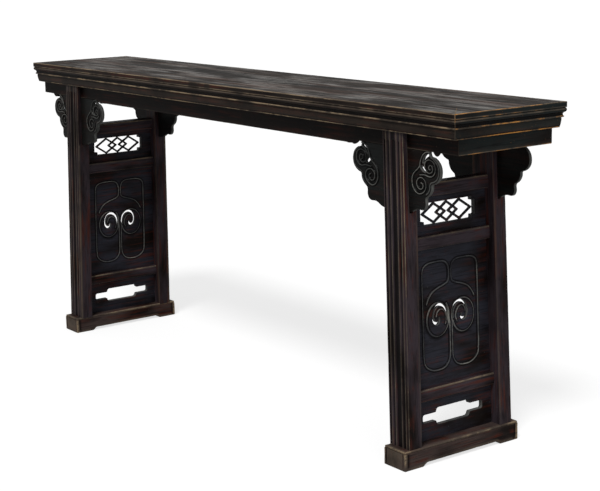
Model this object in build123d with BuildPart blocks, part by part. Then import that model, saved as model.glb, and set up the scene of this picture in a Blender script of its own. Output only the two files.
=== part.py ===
"""Chinese altar table: a long framed top on two splayed end frames that stand on shoe feet."""

from build123d import *
from math import cos, radians, tan
import os

os.makedirs("parts", exist_ok=True)

# Sizes in millimetres, angles in degrees. +X runs along the table to the right end,
# -Y is the front, +Z is up, and the origin is on the floor below the middle of the top.

# ---- the whole table ----
TABLE_HEIGHT = 900.0
TOP_LENGTH = 2109.0
TOP_DEPTH = 365.0
FIT = 0.1  # play on each face of a joint

# ---- mitred frame of the top, with its moulded edge ----
FRAME_THICKNESS = 38.0
FRAME_WIDTH = 88.0
ARRIS = 1.5  # rounding of the upper edge
BEAD_INSET = 1.6  # how far each moulding stands back from the top band
BEAD_HEIGHT = 11.0
BEAD_SWELL = 1.9
COVE_INSET = 2.6
COVE_HEIGHT = 9.0
COVE_HOLLOW = 1.4
ASTRAGAL_INSET = 5.2
ASTRAGAL_HEIGHT = 4.0
ASTRAGAL_SWELL = 1.2
CORNER_TENON_WIDTH = 34.0
CORNER_TENON_SHOULDER = 16.0
CORNER_TENON_THICKNESS = 11.0
CORNER_TENON_COVER = 18.0  # wood left beyond the tenon's end
CORNER_TENON_RISE = 8.0

# ---- floating panel of the top, on cross battens ----
TOP_PANEL_THICKNESS = 16.0
TOP_TONGUE_THICKNESS = 6.0
TOP_TONGUE_LENGTH = 10.0
TOP_TONGUE_RISE = 1.0
PANEL_SEAM = 0.5  # open seam round the panel
BATTEN_COUNT = 5
BATTEN_MARGIN = 266.5  # middle of the outer battens, from the frame's inner edge
BATTEN_WIDTH = 36.0
BATTEN_KEY_DEPTH = 4.0
BATTEN_KEY_NECK = 20.0
BATTEN_KEY_HEAD = 25.0
BATTEN_TENON_WIDTH = 20.0
BATTEN_TENON_HEIGHT = 11.0
BATTEN_TENON_LENGTH = 20.0

# ---- strip added below the frame's edge ----
STRIP_HEIGHT = 25.0
STRIP_INSET = 9.0  # top of the strip's face, from the table's edge
STRIP_BATTER = 2.5  # how far the face leans in towards its foot
STRIP_BEAD_HEIGHT = 3.0
STRIP_BEAD_SWELL = 0.8
STRIP_BEAD_STEP = 0.5

# ---- aprons ----
APRON_THICKNESS = 10.0
APRON_INSET = 30.5  # face of the long aprons, from the table's edge
END_APRON_INSET = 19.2
APRON_SHOW = 38.5  # height seen below the strip, at the ends and over the spandrels
APRON_RUN_SHOW = 46.0  # between the legs
APRON_TONGUE = 6.0
CUSP_START = 139.0  # hanging lobe beside each spandrel, from the spandrel's middle
CUSP_MIDDLE = 153.0
CUSP_END = 166.0
CUSP_DROP = 47.5
RIPPLE_END = 190.0  # shallow lobe between the hanging lobe and the run between the legs
RIPPLE_SWELL = 1.0

# ---- legs ----
LEG_INSET = 238.1  # middle of the leg's head, from the table's end
LEG_WIDTH = 73.0
LEG_DEPTH = 41.0
LEG_SPLAY = 2.334  # lean along the table
LEG_SIDE_SPLAY = 0.658  # lean across the table
FRONT_CHEEK = 13.8
LEG_HEAD_HEIGHT = 18.0  # plain head above the reeding
REED_DEPTH = 2.5
EDGE_FILLET_WIDTH = 3.5
EDGE_FILLET_SETBACK = 1.5
OUTER_REED_WIDTH = 13.0
INNER_REED_WIDTH = 12.0
REED_GROOVE = 2.0
CENTRE_HOLLOW_DEPTH = 1.1
HEAD_TENON_WIDTH = 45.0
HEAD_TENON_THICKNESS = 8.0
HEAD_TENON_HEIGHT = 20.0
FOOT_TENON_WIDTH = 44.0
FOOT_TENON_THICKNESS = 20.0
FOOT_TENON_DEPTH = 32.0

# ---- cloud spandrels ----
SPANDREL_SHIFT = 8.0  # the board's middle, inward of the leg's head
WING_ROOT = 127.0  # end of the edge that meets the apron
NECK_REACH = 130.5
NECK_DROP = 50.0
NECK_HOLLOW = 1.0
LOBE_DROP = 83.0  # middle of the upper lobe, below the strip
LOBE_REACH = 164.0
LOBE_FOOT_REACH = 134.0
LOBE_FOOT_DROP = 116.0
KNEE_REACH = 133.0
KNEE_DROP = 126.0
SHIN_SWELL = 4.0
SHELF_REACH = 113.5
SHELF_TOP_DROP = 150.0
SHELF_END_DROP = 171.0
SHELF_BOTTOM_DROP = 182.5
SHELF_ROUND = 13.0
HEEL_SWELL = 3.0
SHELF_INNER_REACH = 84.0
TOE_REACH = 53.0
TOE_DROP = 193.5
ARCH_SWELL = 1.6
SPANDREL_DROP = 196.0
SCROLL_HOLE_REACH = 103.0
SCROLL_HOLE_DROP = 82.5
SCROLL_HOLE_LENGTH = 18.0
SCROLL_HOLE_HEIGHT = 9.5
SCROLL_HOLE_SLANT = -25.0
CRESCENT_WIDTH = 11.4
CRESCENT_BULGE = 3.4
CRESCENT_TOP_REACH = 121.0
CRESCENT_TOP_DROP = 43.0
CRESCENT_FOOT_REACH = 100.0
CRESCENT_FOOT_DROP = 70.0

# ---- rails of the end frames ----
RAIL_WIDTH = 42.0
RAIL_EDGE_WIDTH = 39.0
TOP_RAIL_DROP = 134.0  # top of the upper rail, below the strip
TOP_RAIL_HEIGHT = 34.0
LATTICE_HEIGHT = 96.5  # from the middle rail to the top rail
MIDDLE_RAIL_HEIGHT = 33.5
LOWER_RAIL_HEIGHT = 31.0
LOWER_PANEL_HEIGHT = 105.0  # from the foot to the lower rail
RAIL_TENON_THICKNESS = 12.0
RAIL_TENON_SHOULDER = 8.0
RAIL_TENON_LENGTH = 24.0
TOP_RAIL_TENON_LENGTH = 8.0

# ---- panels of the end frames ----
END_PANEL_THICKNESS = 13.0
END_TONGUE_THICKNESS = 6.0
END_TONGUE_LENGTH = 6.0
LATTICE_HALF_WIDTH = 95.5
LATTICE_MARGIN = 20.0  # wood left above and below the lattice
CORNER_NOTCH_WIDTH = 10.0
CORNER_NOTCH_HEIGHT = 12.0
LATTICE_BAR = 7.0
LATTICE_THICKNESS = 8.0
DIAMOND_REACH = 44.0  # half width of one diamond of the lattice
DIAMOND_OFFSET = 44.0  # middle of the side diamonds
LATTICE_OVERRUN = 3.0
SLOT_LENGTH = 202.0
SLOT_RISE = 3.5  # middle of the slot, above the panel's middle
SLOT_END_HEIGHT = 21.0
SLOT_MIDDLE_LENGTH = 112.0
SLOT_MIDDLE_HEIGHT = 43.0
SLOT_END_ROUND = 6.0
SLOT_SHOULDER_ROUND = 8.0
CARVING_PROUD = 1.8
CARVED_BORDER = 37.0  # from the legs to the carved outline
CARVED_MIDDLE_GAP = 8.0  # between the two halves
CARVING_HEIGHT = 353.0  # panel height that the heights below are drawn for
PETAL_TOP_MARGIN = 38.0  # from the middle rail to the top of the petals
PETAL_HEIGHT = 76.0
PETAL_SHOULDER = 15.0
PETAL_TAIL_DROP = 22.0
LOBE_FOOT_MARGIN = 43.0  # from the lower rail to the foot of the lobes
LOBE_FOOT_ROUND = 30.0
BOSS_GAP = 4.0  # from the middle line to the boss
BOSS_WIDTH = 70.0
BOSS_HEIGHT = 96.0
BOSS_ROUND = 32.0
BOSS_CENTRE_RISE = 167.0  # middle of the bosses, above the lower rail
# pierced crescents of a boss: two ends as (out, up) from its middle, then the two sagittas
PIERCED_CRESCENTS = (
    ((16.0, 29.0), (-15.0, 33.0), 9.0, 3.5),
    ((21.0, 24.0), (21.0, -6.0), -6.5, -2.0),
    ((-25.0, 24.0), (-27.0, -3.0), 4.5, 0.5),
    ((-6.0, 5.0), (15.0, -19.0), 9.5, 3.5),
)

# ---- shoe feet ----
FOOT_LENGTH = 388.0
FOOT_WIDTH = 80.0
FOOT_HEIGHT = 50.0
FOOT_CAP_HEIGHT = 6.0
FOOT_CAP_STEP = 1.5
FOOT_CAP_CHAMFER = 3.0
FOOT_CORNER_ROUND = 5.0
FOOT_GROOVE = 2.0
FOOT_CORNER_BEAD = 10.0
RELIEF_HEIGHT = 9.0
RELIEF_HALF_LENGTH = 135.0
RELIEF_OGEE = 17.0
RELIEF_CURVE = 1.1

# ---- levels and planes that follow from the sizes ----
FRAME_BOTTOM = TABLE_HEIGHT - FRAME_THICKNESS
STRIP_BOTTOM = FRAME_BOTTOM - STRIP_HEIGHT
APRON_FACE = TOP_DEPTH / 2 - APRON_INSET
END_APRON_FACE = TOP_LENGTH / 2 - END_APRON_INSET
SLOT_BOTTOM = STRIP_BOTTOM - SPANDREL_DROP
REED_TOP = STRIP_BOTTOM - LEG_HEAD_HEIGHT
PANEL_BOTTOM = TABLE_HEIGHT - TOP_PANEL_THICKNESS
INNER_HALF_DEPTH = TOP_DEPTH / 2 - FRAME_WIDTH
INNER_HALF_LENGTH = TOP_LENGTH / 2 - FRAME_WIDTH
LEG_HEAD_X = TOP_LENGTH / 2 - LEG_INSET
BATTEN_SPACING = 2 * (INNER_HALF_LENGTH - BATTEN_MARGIN) / (BATTEN_COUNT - 1)
TOP_RAIL_TOP = STRIP_BOTTOM - TOP_RAIL_DROP
TOP_RAIL_BOTTOM = TOP_RAIL_TOP - TOP_RAIL_HEIGHT
MIDDLE_RAIL_TOP = TOP_RAIL_BOTTOM - LATTICE_HEIGHT
MIDDLE_RAIL_BOTTOM = MIDDLE_RAIL_TOP - MIDDLE_RAIL_HEIGHT
LOWER_RAIL_BOTTOM = FOOT_HEIGHT + LOWER_PANEL_HEIGHT
LOWER_RAIL_TOP = LOWER_RAIL_BOTTOM + LOWER_RAIL_HEIGHT


def leg_x(height):
    """Middle of a right leg along the table."""
    return LEG_HEAD_X + (STRIP_BOTTOM - height) * tan(radians(LEG_SPLAY))


def leg_face_y(height):
    """Outer moulded face of a leg, from the table's middle line."""
    return APRON_FACE + FRONT_CHEEK + (STRIP_BOTTOM - height) * tan(radians(LEG_SIDE_SPLAY))


def leg_inner_y(height):
    """Inner face of a leg, where rails and panels end."""
    return leg_face_y(height) - LEG_DEPTH


def up_slope(height):
    """Distance from the floor to a height, measured up the lean of an end frame."""
    return height / cos(radians(LEG_SPLAY))


FOOT_X = leg_x(0)
LEG_LEAN = Vector(-tan(radians(LEG_SPLAY)), tan(radians(LEG_SIDE_SPLAY)), 1)
END_NORMAL = Vector(1, 0, tan(radians(LEG_SPLAY)))
END_PLANE = Plane(origin=(FOOT_X, 0, 0), x_dir=(0, 1, 0), z_dir=END_NORMAL)
RAIL_PLANE = Plane(origin=(FOOT_X, 0, 0), x_dir=END_NORMAL, z_dir=(0, -1, 0))
LEG_INNER_PLANE = Plane(
    origin=(0, -leg_inner_y(0), 0), x_dir=(1, 0, 0), z_dir=(0, -1, tan(radians(LEG_SIDE_SPLAY)))
)
FRONT_EDGE_PLANE = Plane(origin=(0, -TOP_DEPTH / 2, 0), x_dir=(0, 1, 0), z_dir=(1, 0, 0))
END_EDGE_PLANE = Plane(origin=(TOP_LENGTH / 2, 0, 0), x_dir=(-1, 0, 0), z_dir=(0, 1, 0))
FRONT_APRON_PLANE = Plane(origin=(0, -APRON_FACE, STRIP_BOTTOM), x_dir=(1, 0, 0), z_dir=(0, -1, 0))
END_APRON_PLANE = Plane(origin=(END_APRON_FACE, 0, STRIP_BOTTOM), x_dir=(0, 1, 0), z_dir=(1, 0, 0))
SPANDREL_X = LEG_HEAD_X - SPANDREL_SHIFT
SPANDREL_PLANE = Plane(
    origin=(SPANDREL_X, -APRON_FACE, STRIP_BOTTOM), x_dir=(1, 0, 0), z_dir=(0, -1, 0)
)


def corner_mitre(x, y):
    """Upright 45 degree plane through the front right corner at (x, -y), facing the end."""
    return Plane(origin=(x, -y, 0), z_dir=(1, 1, 0))


def save(piece, name):
    """Labels a finished piece and writes its file."""
    piece.part.label = name
    export_step(piece.part, f"parts/{name}.step")


def save_pair(piece, name, mirrored_name, about):
    """Writes a piece and its mirror image."""
    save(piece, name)
    with BuildPart() as opposite:
        mirror(piece.part, about=about)
    save(opposite, mirrored_name)


def save_four(piece, name):
    """Writes a front right piece and its images at the other three corners."""
    save_pair(piece, f"{name}_front_right", f"{name}_front_left", Plane.YZ)
    with BuildPart() as back:
        mirror(piece.part, about=Plane.XZ)
    save_pair(back, f"{name}_back_right", f"{name}_back_left", Plane.YZ)


# ---- moulded sections, drawn as (inset from the table's edge, height) ----


def frame_section(plane):
    """Section of a frame member, with the groove that holds the floating panel."""
    with BuildSketch(plane.offset(0)) as section:
        astragal_top = FRAME_BOTTOM + ASTRAGAL_HEIGHT
        cove_top = astragal_top + COVE_HEIGHT
        bead_top = cove_top + BEAD_HEIGHT
        with BuildLine():
            astragal = SagittaArc(
                (ASTRAGAL_INSET, FRAME_BOTTOM), (ASTRAGAL_INSET, astragal_top), ASTRAGAL_SWELL
            )
            cove = SagittaArc(astragal @ 1, (COVE_INSET, cove_top), -COVE_HOLLOW)
            bead = SagittaArc(cove @ 1, (BEAD_INSET, bead_top), BEAD_SWELL)
            band = Polyline(bead @ 1, (0, bead_top), (0, TABLE_HEIGHT - ARRIS))
            arris = RadiusArc(band @ 1, (ARRIS, TABLE_HEIGHT), ARRIS)
            Polyline(
                arris @ 1,
                (FRAME_WIDTH, TABLE_HEIGHT),
                (FRAME_WIDTH, FRAME_BOTTOM),
                astragal @ 0,
            )
        make_face()
        with Locations((FRAME_WIDTH, PANEL_BOTTOM + TOP_TONGUE_RISE)):
            Rectangle(
                2 * (TOP_TONGUE_LENGTH + FIT),
                TOP_TONGUE_THICKNESS + FIT,
                align=(Align.CENTER, Align.MIN),
                mode=Mode.SUBTRACT,
            )
    return section.sketch


def strip_section(plane, depth):
    """Section of the strip under the frame's edge, as deep as the apron's inset."""
    foot = STRIP_INSET + STRIP_BATTER
    with BuildSketch(plane.offset(0)) as section:
        with BuildLine():
            face = Polyline(
                (depth, STRIP_BOTTOM),
                (depth, FRAME_BOTTOM),
                (STRIP_INSET, FRAME_BOTTOM),
                (foot, STRIP_BOTTOM + STRIP_BEAD_HEIGHT),
                (foot + STRIP_BEAD_STEP, STRIP_BOTTOM + STRIP_BEAD_HEIGHT),
            )
            bead = SagittaArc(
                face @ 1, (foot + STRIP_BEAD_STEP, STRIP_BOTTOM), -STRIP_BEAD_SWELL - STRIP_BEAD_STEP
            )
            Line(bead @ 1, face @ 0)
        make_face()
    return section.sketch


# ---- top frame ----

CORNER_TENON_TOP = FRAME_BOTTOM + CORNER_TENON_RISE + CORNER_TENON_THICKNESS


def corner_tenon(clearance):
    """Tenon from a long member through the mitre into an end member, at the front right."""
    inner = -INNER_HALF_DEPTH - CORNER_TENON_SHOULDER
    with BuildPart() as tenon:
        with BuildSketch(Plane.XY.offset(CORNER_TENON_TOP + clearance)):
            with Locations((INNER_HALF_LENGTH - clearance, inner + clearance)):
                Rectangle(
                    FRAME_WIDTH - CORNER_TENON_COVER + 2 * clearance,
                    CORNER_TENON_WIDTH + 2 * clearance,
                    align=(Align.MIN, Align.MAX),
                )
        extrude(amount=-CORNER_TENON_THICKNESS - 2 * clearance)
    return tenon.part


def leg_head_tenon(clearance):
    """Tenon that rises from the inner cheek of the front right leg into the frame."""
    cheek_middle = (APRON_FACE - APRON_THICKNESS + leg_inner_y(FRAME_BOTTOM)) / 2
    with BuildPart() as tenon:
        with BuildSketch(Plane.XY.offset(FRAME_BOTTOM)):
            with Locations((leg_x(FRAME_BOTTOM), -cheek_middle)):
                Rectangle(HEAD_TENON_WIDTH + 2 * clearance, HEAD_TENON_THICKNESS + 2 * clearance)
        extrude(amount=HEAD_TENON_HEIGHT + clearance)
    return tenon.part


def batten_tenons(clearance):
    """Tenons of all the battens, as they enter the front frame member."""
    with BuildPart() as tenons:
        with BuildSketch(Plane.XZ.offset(INNER_HALF_DEPTH)):
            with Locations((0, (FRAME_BOTTOM + PANEL_BOTTOM) / 2)):
                with GridLocations(BATTEN_SPACING, 0, BATTEN_COUNT, 1):
                    Rectangle(
                        BATTEN_TENON_WIDTH + 2 * clearance, BATTEN_TENON_HEIGHT + 2 * clearance
                    )
        extrude(amount=BATTEN_TENON_LENGTH + clearance)
    return tenons.part


def apron_tongue(clearance):
    """Tongue along the front apron's upper edge, stopped clear of the frame's corners."""
    with BuildPart() as tongue:
        with BuildSketch(Plane.XY.offset(FRAME_BOTTOM)):
            with Locations((0, -APRON_FACE + APRON_THICKNESS / 2)):
                Rectangle(2 * (INNER_HALF_LENGTH + clearance), APRON_TONGUE + 2 * clearance)
        extrude(amount=APRON_TONGUE + clearance)
    return tongue.part


def end_apron_tongue(clearance):
    """Tongue along the right end apron's upper edge, stopped clear of the frame's corners."""
    with BuildPart() as tongue:
        with BuildSketch(Plane.XY.offset(FRAME_BOTTOM)):
            with Locations((END_APRON_FACE - APRON_THICKNESS / 2, 0)):
                Rectangle(APRON_TONGUE + 2 * clearance, 2 * (INNER_HALF_DEPTH + clearance))
        extrude(amount=APRON_TONGUE + clearance)
    return tongue.part


corner_tenon_solid = corner_tenon(0)
corner_mortise = corner_tenon(FIT)
head_tenon_solid = leg_head_tenon(0)
head_mortise = leg_head_tenon(FIT)
batten_mortises = batten_tenons(FIT)
long_groove = apron_tongue(FIT)
end_groove = end_apron_tongue(FIT)
frame_corner = corner_mitre(TOP_LENGTH / 2, TOP_DEPTH / 2)

long_section = frame_section(FRONT_EDGE_PLANE)
with BuildPart() as top_frame_front:
    extrude(long_section, amount=TOP_LENGTH / 2)
    split(bisect_by=frame_corner, keep=Keep.BOTTOM)
    add(corner_tenon_solid)
    add(head_mortise, mode=Mode.SUBTRACT)
    mirror(about=Plane.YZ)
    add(batten_mortises, mode=Mode.SUBTRACT)
    add(long_groove, mode=Mode.SUBTRACT)
save_pair(top_frame_front, "top_frame_front", "top_frame_back", Plane.XZ)

end_section = frame_section(END_EDGE_PLANE)
with BuildPart() as top_frame_right:
    extrude(end_section, amount=-TOP_DEPTH / 2)
    split(bisect_by=frame_corner, keep=Keep.TOP)
    add(corner_mortise, mode=Mode.SUBTRACT)
    mirror(about=Plane.XZ)
    add(end_groove, mode=Mode.SUBTRACT)
save_pair(top_frame_right, "top_frame_right", "top_frame_left", Plane.YZ)

# ---- battens and floating panel ----


def batten_key(clearance):
    """Section of the dovetail key that slides into the panel's underside."""
    neck = BATTEN_KEY_NECK / 2 + clearance
    head = BATTEN_KEY_HEAD / 2 + clearance
    crown = PANEL_BOTTOM + BATTEN_KEY_DEPTH + clearance
    with BuildSketch() as key:
        with BuildLine():
            Polyline(
                (-neck, PANEL_BOTTOM),
                (neck, PANEL_BOTTOM),
                (head, crown),
                (-head, crown),
                close=True,
            )
        make_face()
    return key.sketch


trench_section = batten_key(FIT)
key_section = batten_key(0)
with BuildPart() as top_panel:
    with BuildSketch(Plane.XY.offset(TABLE_HEIGHT)):
        Rectangle(2 * (INNER_HALF_LENGTH - PANEL_SEAM), 2 * (INNER_HALF_DEPTH - PANEL_SEAM))
    extrude(amount=-TOP_PANEL_THICKNESS)
    with BuildSketch(Plane.XY.offset(PANEL_BOTTOM + TOP_TONGUE_RISE)):
        Rectangle(
            2 * (INNER_HALF_LENGTH + TOP_TONGUE_LENGTH), 2 * (INNER_HALF_DEPTH + TOP_TONGUE_LENGTH)
        )
    extrude(amount=TOP_TONGUE_THICKNESS)
    with BuildSketch(Plane.XZ):
        with GridLocations(BATTEN_SPACING, 0, BATTEN_COUNT, 1):
            add(trench_section)
    extrude(amount=TOP_DEPTH / 2, both=True, mode=Mode.SUBTRACT)
save(top_panel, "top_panel")

for index in range(BATTEN_COUNT):
    batten_x = (index - (BATTEN_COUNT - 1) / 2) * BATTEN_SPACING
    with BuildPart() as top_batten:
        with BuildSketch(Plane.XZ):
            with Locations((batten_x, FRAME_BOTTOM)):
                Rectangle(
                    BATTEN_WIDTH, PANEL_BOTTOM - FRAME_BOTTOM, align=(Align.CENTER, Align.MIN)
                )
            with Locations((batten_x, 0)):
                add(key_section)
        extrude(amount=INNER_HALF_DEPTH, both=True)
        with BuildSketch(Plane.XZ):
            with Locations((batten_x, (FRAME_BOTTOM + PANEL_BOTTOM) / 2)):
                Rectangle(BATTEN_TENON_WIDTH, BATTEN_TENON_HEIGHT)
        extrude(amount=INNER_HALF_DEPTH + BATTEN_TENON_LENGTH, both=True)
    save(top_batten, f"top_batten_{index + 1}")

# ---- strips under the frame's edge ----

strip_corner = corner_mitre(TOP_LENGTH / 2, TOP_DEPTH / 2)
long_strip_section = strip_section(FRONT_EDGE_PLANE, APRON_INSET)
with BuildPart() as edge_strip_front:
    extrude(long_strip_section, amount=TOP_LENGTH / 2)
    split(bisect_by=strip_corner, keep=Keep.BOTTOM)
    mirror(about=Plane.YZ)
save_pair(edge_strip_front, "edge_strip_front", "edge_strip_back", Plane.XZ)

end_strip_section = strip_section(END_EDGE_PLANE, END_APRON_INSET)
with BuildPart() as edge_strip_right:
    extrude(end_strip_section, amount=-TOP_DEPTH / 2)
    split(bisect_by=strip_corner, keep=Keep.TOP)
    mirror(about=Plane.XZ)
save_pair(edge_strip_right, "edge_strip_right", "edge_strip_left", Plane.YZ)

# ---- aprons ----

apron_corner = corner_mitre(END_APRON_FACE, APRON_FACE)
apron_tongue_solid = apron_tongue(0)
end_apron_tongue_solid = end_apron_tongue(0)


def cusp_line(side, end_show):
    """Lobe hanging beside the right spandrel, ending where the apron shows end_show."""
    return ThreePointArc(
        (SPANDREL_X + side * CUSP_START, -APRON_SHOW),
        (SPANDREL_X + side * CUSP_MIDDLE, -CUSP_DROP),
        (SPANDREL_X + side * CUSP_END, -end_show),
    )


with BuildPart() as apron_front:
    with BuildSketch(FRONT_APRON_PLANE):
        with BuildLine():
            inner_cusp = cusp_line(-1, APRON_RUN_SHOW)
            outer_cusp = cusp_line(1, APRON_SHOW)
            Line(inner_cusp @ 0, outer_cusp @ 0)
            ripple = SagittaArc(
                inner_cusp @ 1, (SPANDREL_X - RIPPLE_END, -APRON_RUN_SHOW), RIPPLE_SWELL
            )
            Polyline(
                ripple @ 1,
                (0, -APRON_RUN_SHOW),
                (0, STRIP_HEIGHT),
                (END_APRON_FACE, STRIP_HEIGHT),
                (END_APRON_FACE, -APRON_SHOW),
                outer_cusp @ 1,
            )
        make_face()
    extrude(amount=-APRON_THICKNESS)
    split(bisect_by=apron_corner, keep=Keep.BOTTOM)
    mirror(about=Plane.YZ)
    add(apron_tongue_solid)
save_pair(apron_front, "apron_front", "apron_back", Plane.XZ)

with BuildPart() as apron_right:
    with BuildSketch(END_APRON_PLANE):
        with BuildLine():
            Polyline(
                (0, -APRON_SHOW),
                (0, STRIP_HEIGHT),
                (-APRON_FACE, STRIP_HEIGHT),
                (-APRON_FACE, -APRON_SHOW),
                close=True,
            )
        make_face()
    extrude(amount=-APRON_THICKNESS)
    split(bisect_by=apron_corner, keep=Keep.TOP)
    mirror(about=Plane.XZ)
    add(end_apron_tongue_solid)
save_pair(apron_right, "apron_right", "apron_left", Plane.YZ)

# ---- cloud spandrels ----

with BuildPart() as spandrel:
    with BuildSketch(SPANDREL_PLANE):
        with BuildLine():
            neck = SagittaArc((WING_ROOT, -APRON_SHOW), (NECK_REACH, -NECK_DROP), -NECK_HOLLOW)
            lobe = ThreePointArc(
                neck @ 1, (LOBE_REACH, -LOBE_DROP), (LOBE_FOOT_REACH, -LOBE_FOOT_DROP)
            )
            knee = Line(lobe @ 1, (KNEE_REACH, -KNEE_DROP))
            shin = SagittaArc(knee @ 1, (SHELF_REACH, -SHELF_TOP_DROP), SHIN_SWELL)
            shelf = Line(shin @ 1, (SHELF_REACH, -SHELF_END_DROP))
            heel = SagittaArc(
                shelf @ 1, (SHELF_REACH - SHELF_ROUND, -SHELF_BOTTOM_DROP), HEEL_SWELL
            )
            sole = Line(heel @ 1, (SHELF_INNER_REACH, -SHELF_BOTTOM_DROP))
            arch = SagittaArc(
                sole @ 1,
                ((SHELF_INNER_REACH + TOE_REACH) / 2, -(SHELF_BOTTOM_DROP + TOE_DROP) / 2),
                -ARCH_SWELL,
            )
            toe = SagittaArc(arch @ 1, (TOE_REACH, -TOE_DROP), ARCH_SWELL)
            Polyline(
                toe @ 1,
                (LEG_WIDTH / 2, -SPANDREL_DROP),
                (0, -SPANDREL_DROP),
                (0, -APRON_SHOW),
                neck @ 0,
            )
        make_face()
        with Locations((SCROLL_HOLE_REACH, -SCROLL_HOLE_DROP)):
            Rectangle(
                SCROLL_HOLE_LENGTH,
                SCROLL_HOLE_HEIGHT,
                rotation=SCROLL_HOLE_SLANT,
                mode=Mode.SUBTRACT,
            )
        with BuildLine():
            crescent = SagittaArc(
                (CRESCENT_TOP_REACH, -CRESCENT_TOP_DROP),
                (CRESCENT_FOOT_REACH, -CRESCENT_FOOT_DROP),
                CRESCENT_BULGE,
            )
            SagittaArc(crescent @ 0, crescent @ 1, CRESCENT_BULGE - CRESCENT_WIDTH)
        make_face(mode=Mode.SUBTRACT)
        mirror(about=Plane.YZ)
    extrude(amount=-APRON_THICKNESS)
save_four(spandrel, "spandrel")

# ---- legs ----


def lean_length(bottom, top):
    """Length along a leg's leaning arrises between two levels."""
    return (top - bottom) * LEG_LEAN.length


def leg_plane(height):
    """Level plane at the middle of the front right leg's moulded face."""
    return Plane(origin=(leg_x(height), -leg_face_y(height), height))


def rail_tenon(bottom, top, length, clearance):
    """Tenon of a rail into the front right leg."""
    with BuildPart() as tenon:
        with BuildSketch(RAIL_PLANE):
            with Locations((0, up_slope((bottom + top) / 2))):
                Rectangle(
                    RAIL_TENON_THICKNESS + 2 * clearance,
                    up_slope(top - bottom) - 2 * RAIL_TENON_SHOULDER + 2 * clearance,
                )
        extrude(amount=leg_inner_y((bottom + top) / 2) + length + clearance)
    return tenon.part


def end_frame_panel(bottom, top, grow):
    """Outline of a panel between the legs, grown past the legs' faces and the rails."""
    low = up_slope(bottom) - grow
    high = up_slope(top) + grow
    low_y = leg_inner_y(bottom) + grow
    high_y = leg_inner_y(top) + grow
    with BuildSketch(END_PLANE) as outline:
        with BuildLine():
            Polyline((-low_y, low), (low_y, low), (high_y, high), (-high_y, high), close=True)
        make_face()
    return outline.sketch


def tongue_groove(bottom, top):
    """Groove in legs and rails round a panel."""
    with BuildPart() as groove:
        extrude(
            end_frame_panel(bottom, top, END_TONGUE_LENGTH + FIT),
            amount=END_TONGUE_THICKNESS / 2 + FIT,
            both=True,
        )
    return groove.part


def leg_foot_tenon(clearance):
    """Upright tenon from the front right leg into its foot."""
    with BuildPart() as tenon:
        with BuildSketch(Plane.XY.offset(FOOT_HEIGHT)):
            with Locations((leg_x(FOOT_HEIGHT), -leg_face_y(FOOT_HEIGHT) + LEG_DEPTH / 2)):
                Rectangle(FOOT_TENON_WIDTH + 2 * clearance, FOOT_TENON_THICKNESS + 2 * clearance)
        extrude(amount=-FOOT_TENON_DEPTH - clearance)
    return tenon.part


RAILS = {
    "top": (TOP_RAIL_BOTTOM, TOP_RAIL_TOP, TOP_RAIL_TENON_LENGTH),
    "middle": (MIDDLE_RAIL_BOTTOM, MIDDLE_RAIL_TOP, RAIL_TENON_LENGTH),
    "lower": (LOWER_RAIL_BOTTOM, LOWER_RAIL_TOP, RAIL_TENON_LENGTH),
}
lattice_groove = tongue_groove(MIDDLE_RAIL_TOP, TOP_RAIL_BOTTOM)
carved_groove = tongue_groove(LOWER_RAIL_TOP, MIDDLE_RAIL_BOTTOM)
slotted_groove = tongue_groove(FOOT_HEIGHT, LOWER_RAIL_BOTTOM)
rail_mortises = [rail_tenon(*rail, FIT) for rail in RAILS.values()]
foot_tenon_solid = leg_foot_tenon(0)
foot_mortise = leg_foot_tenon(FIT)

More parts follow.
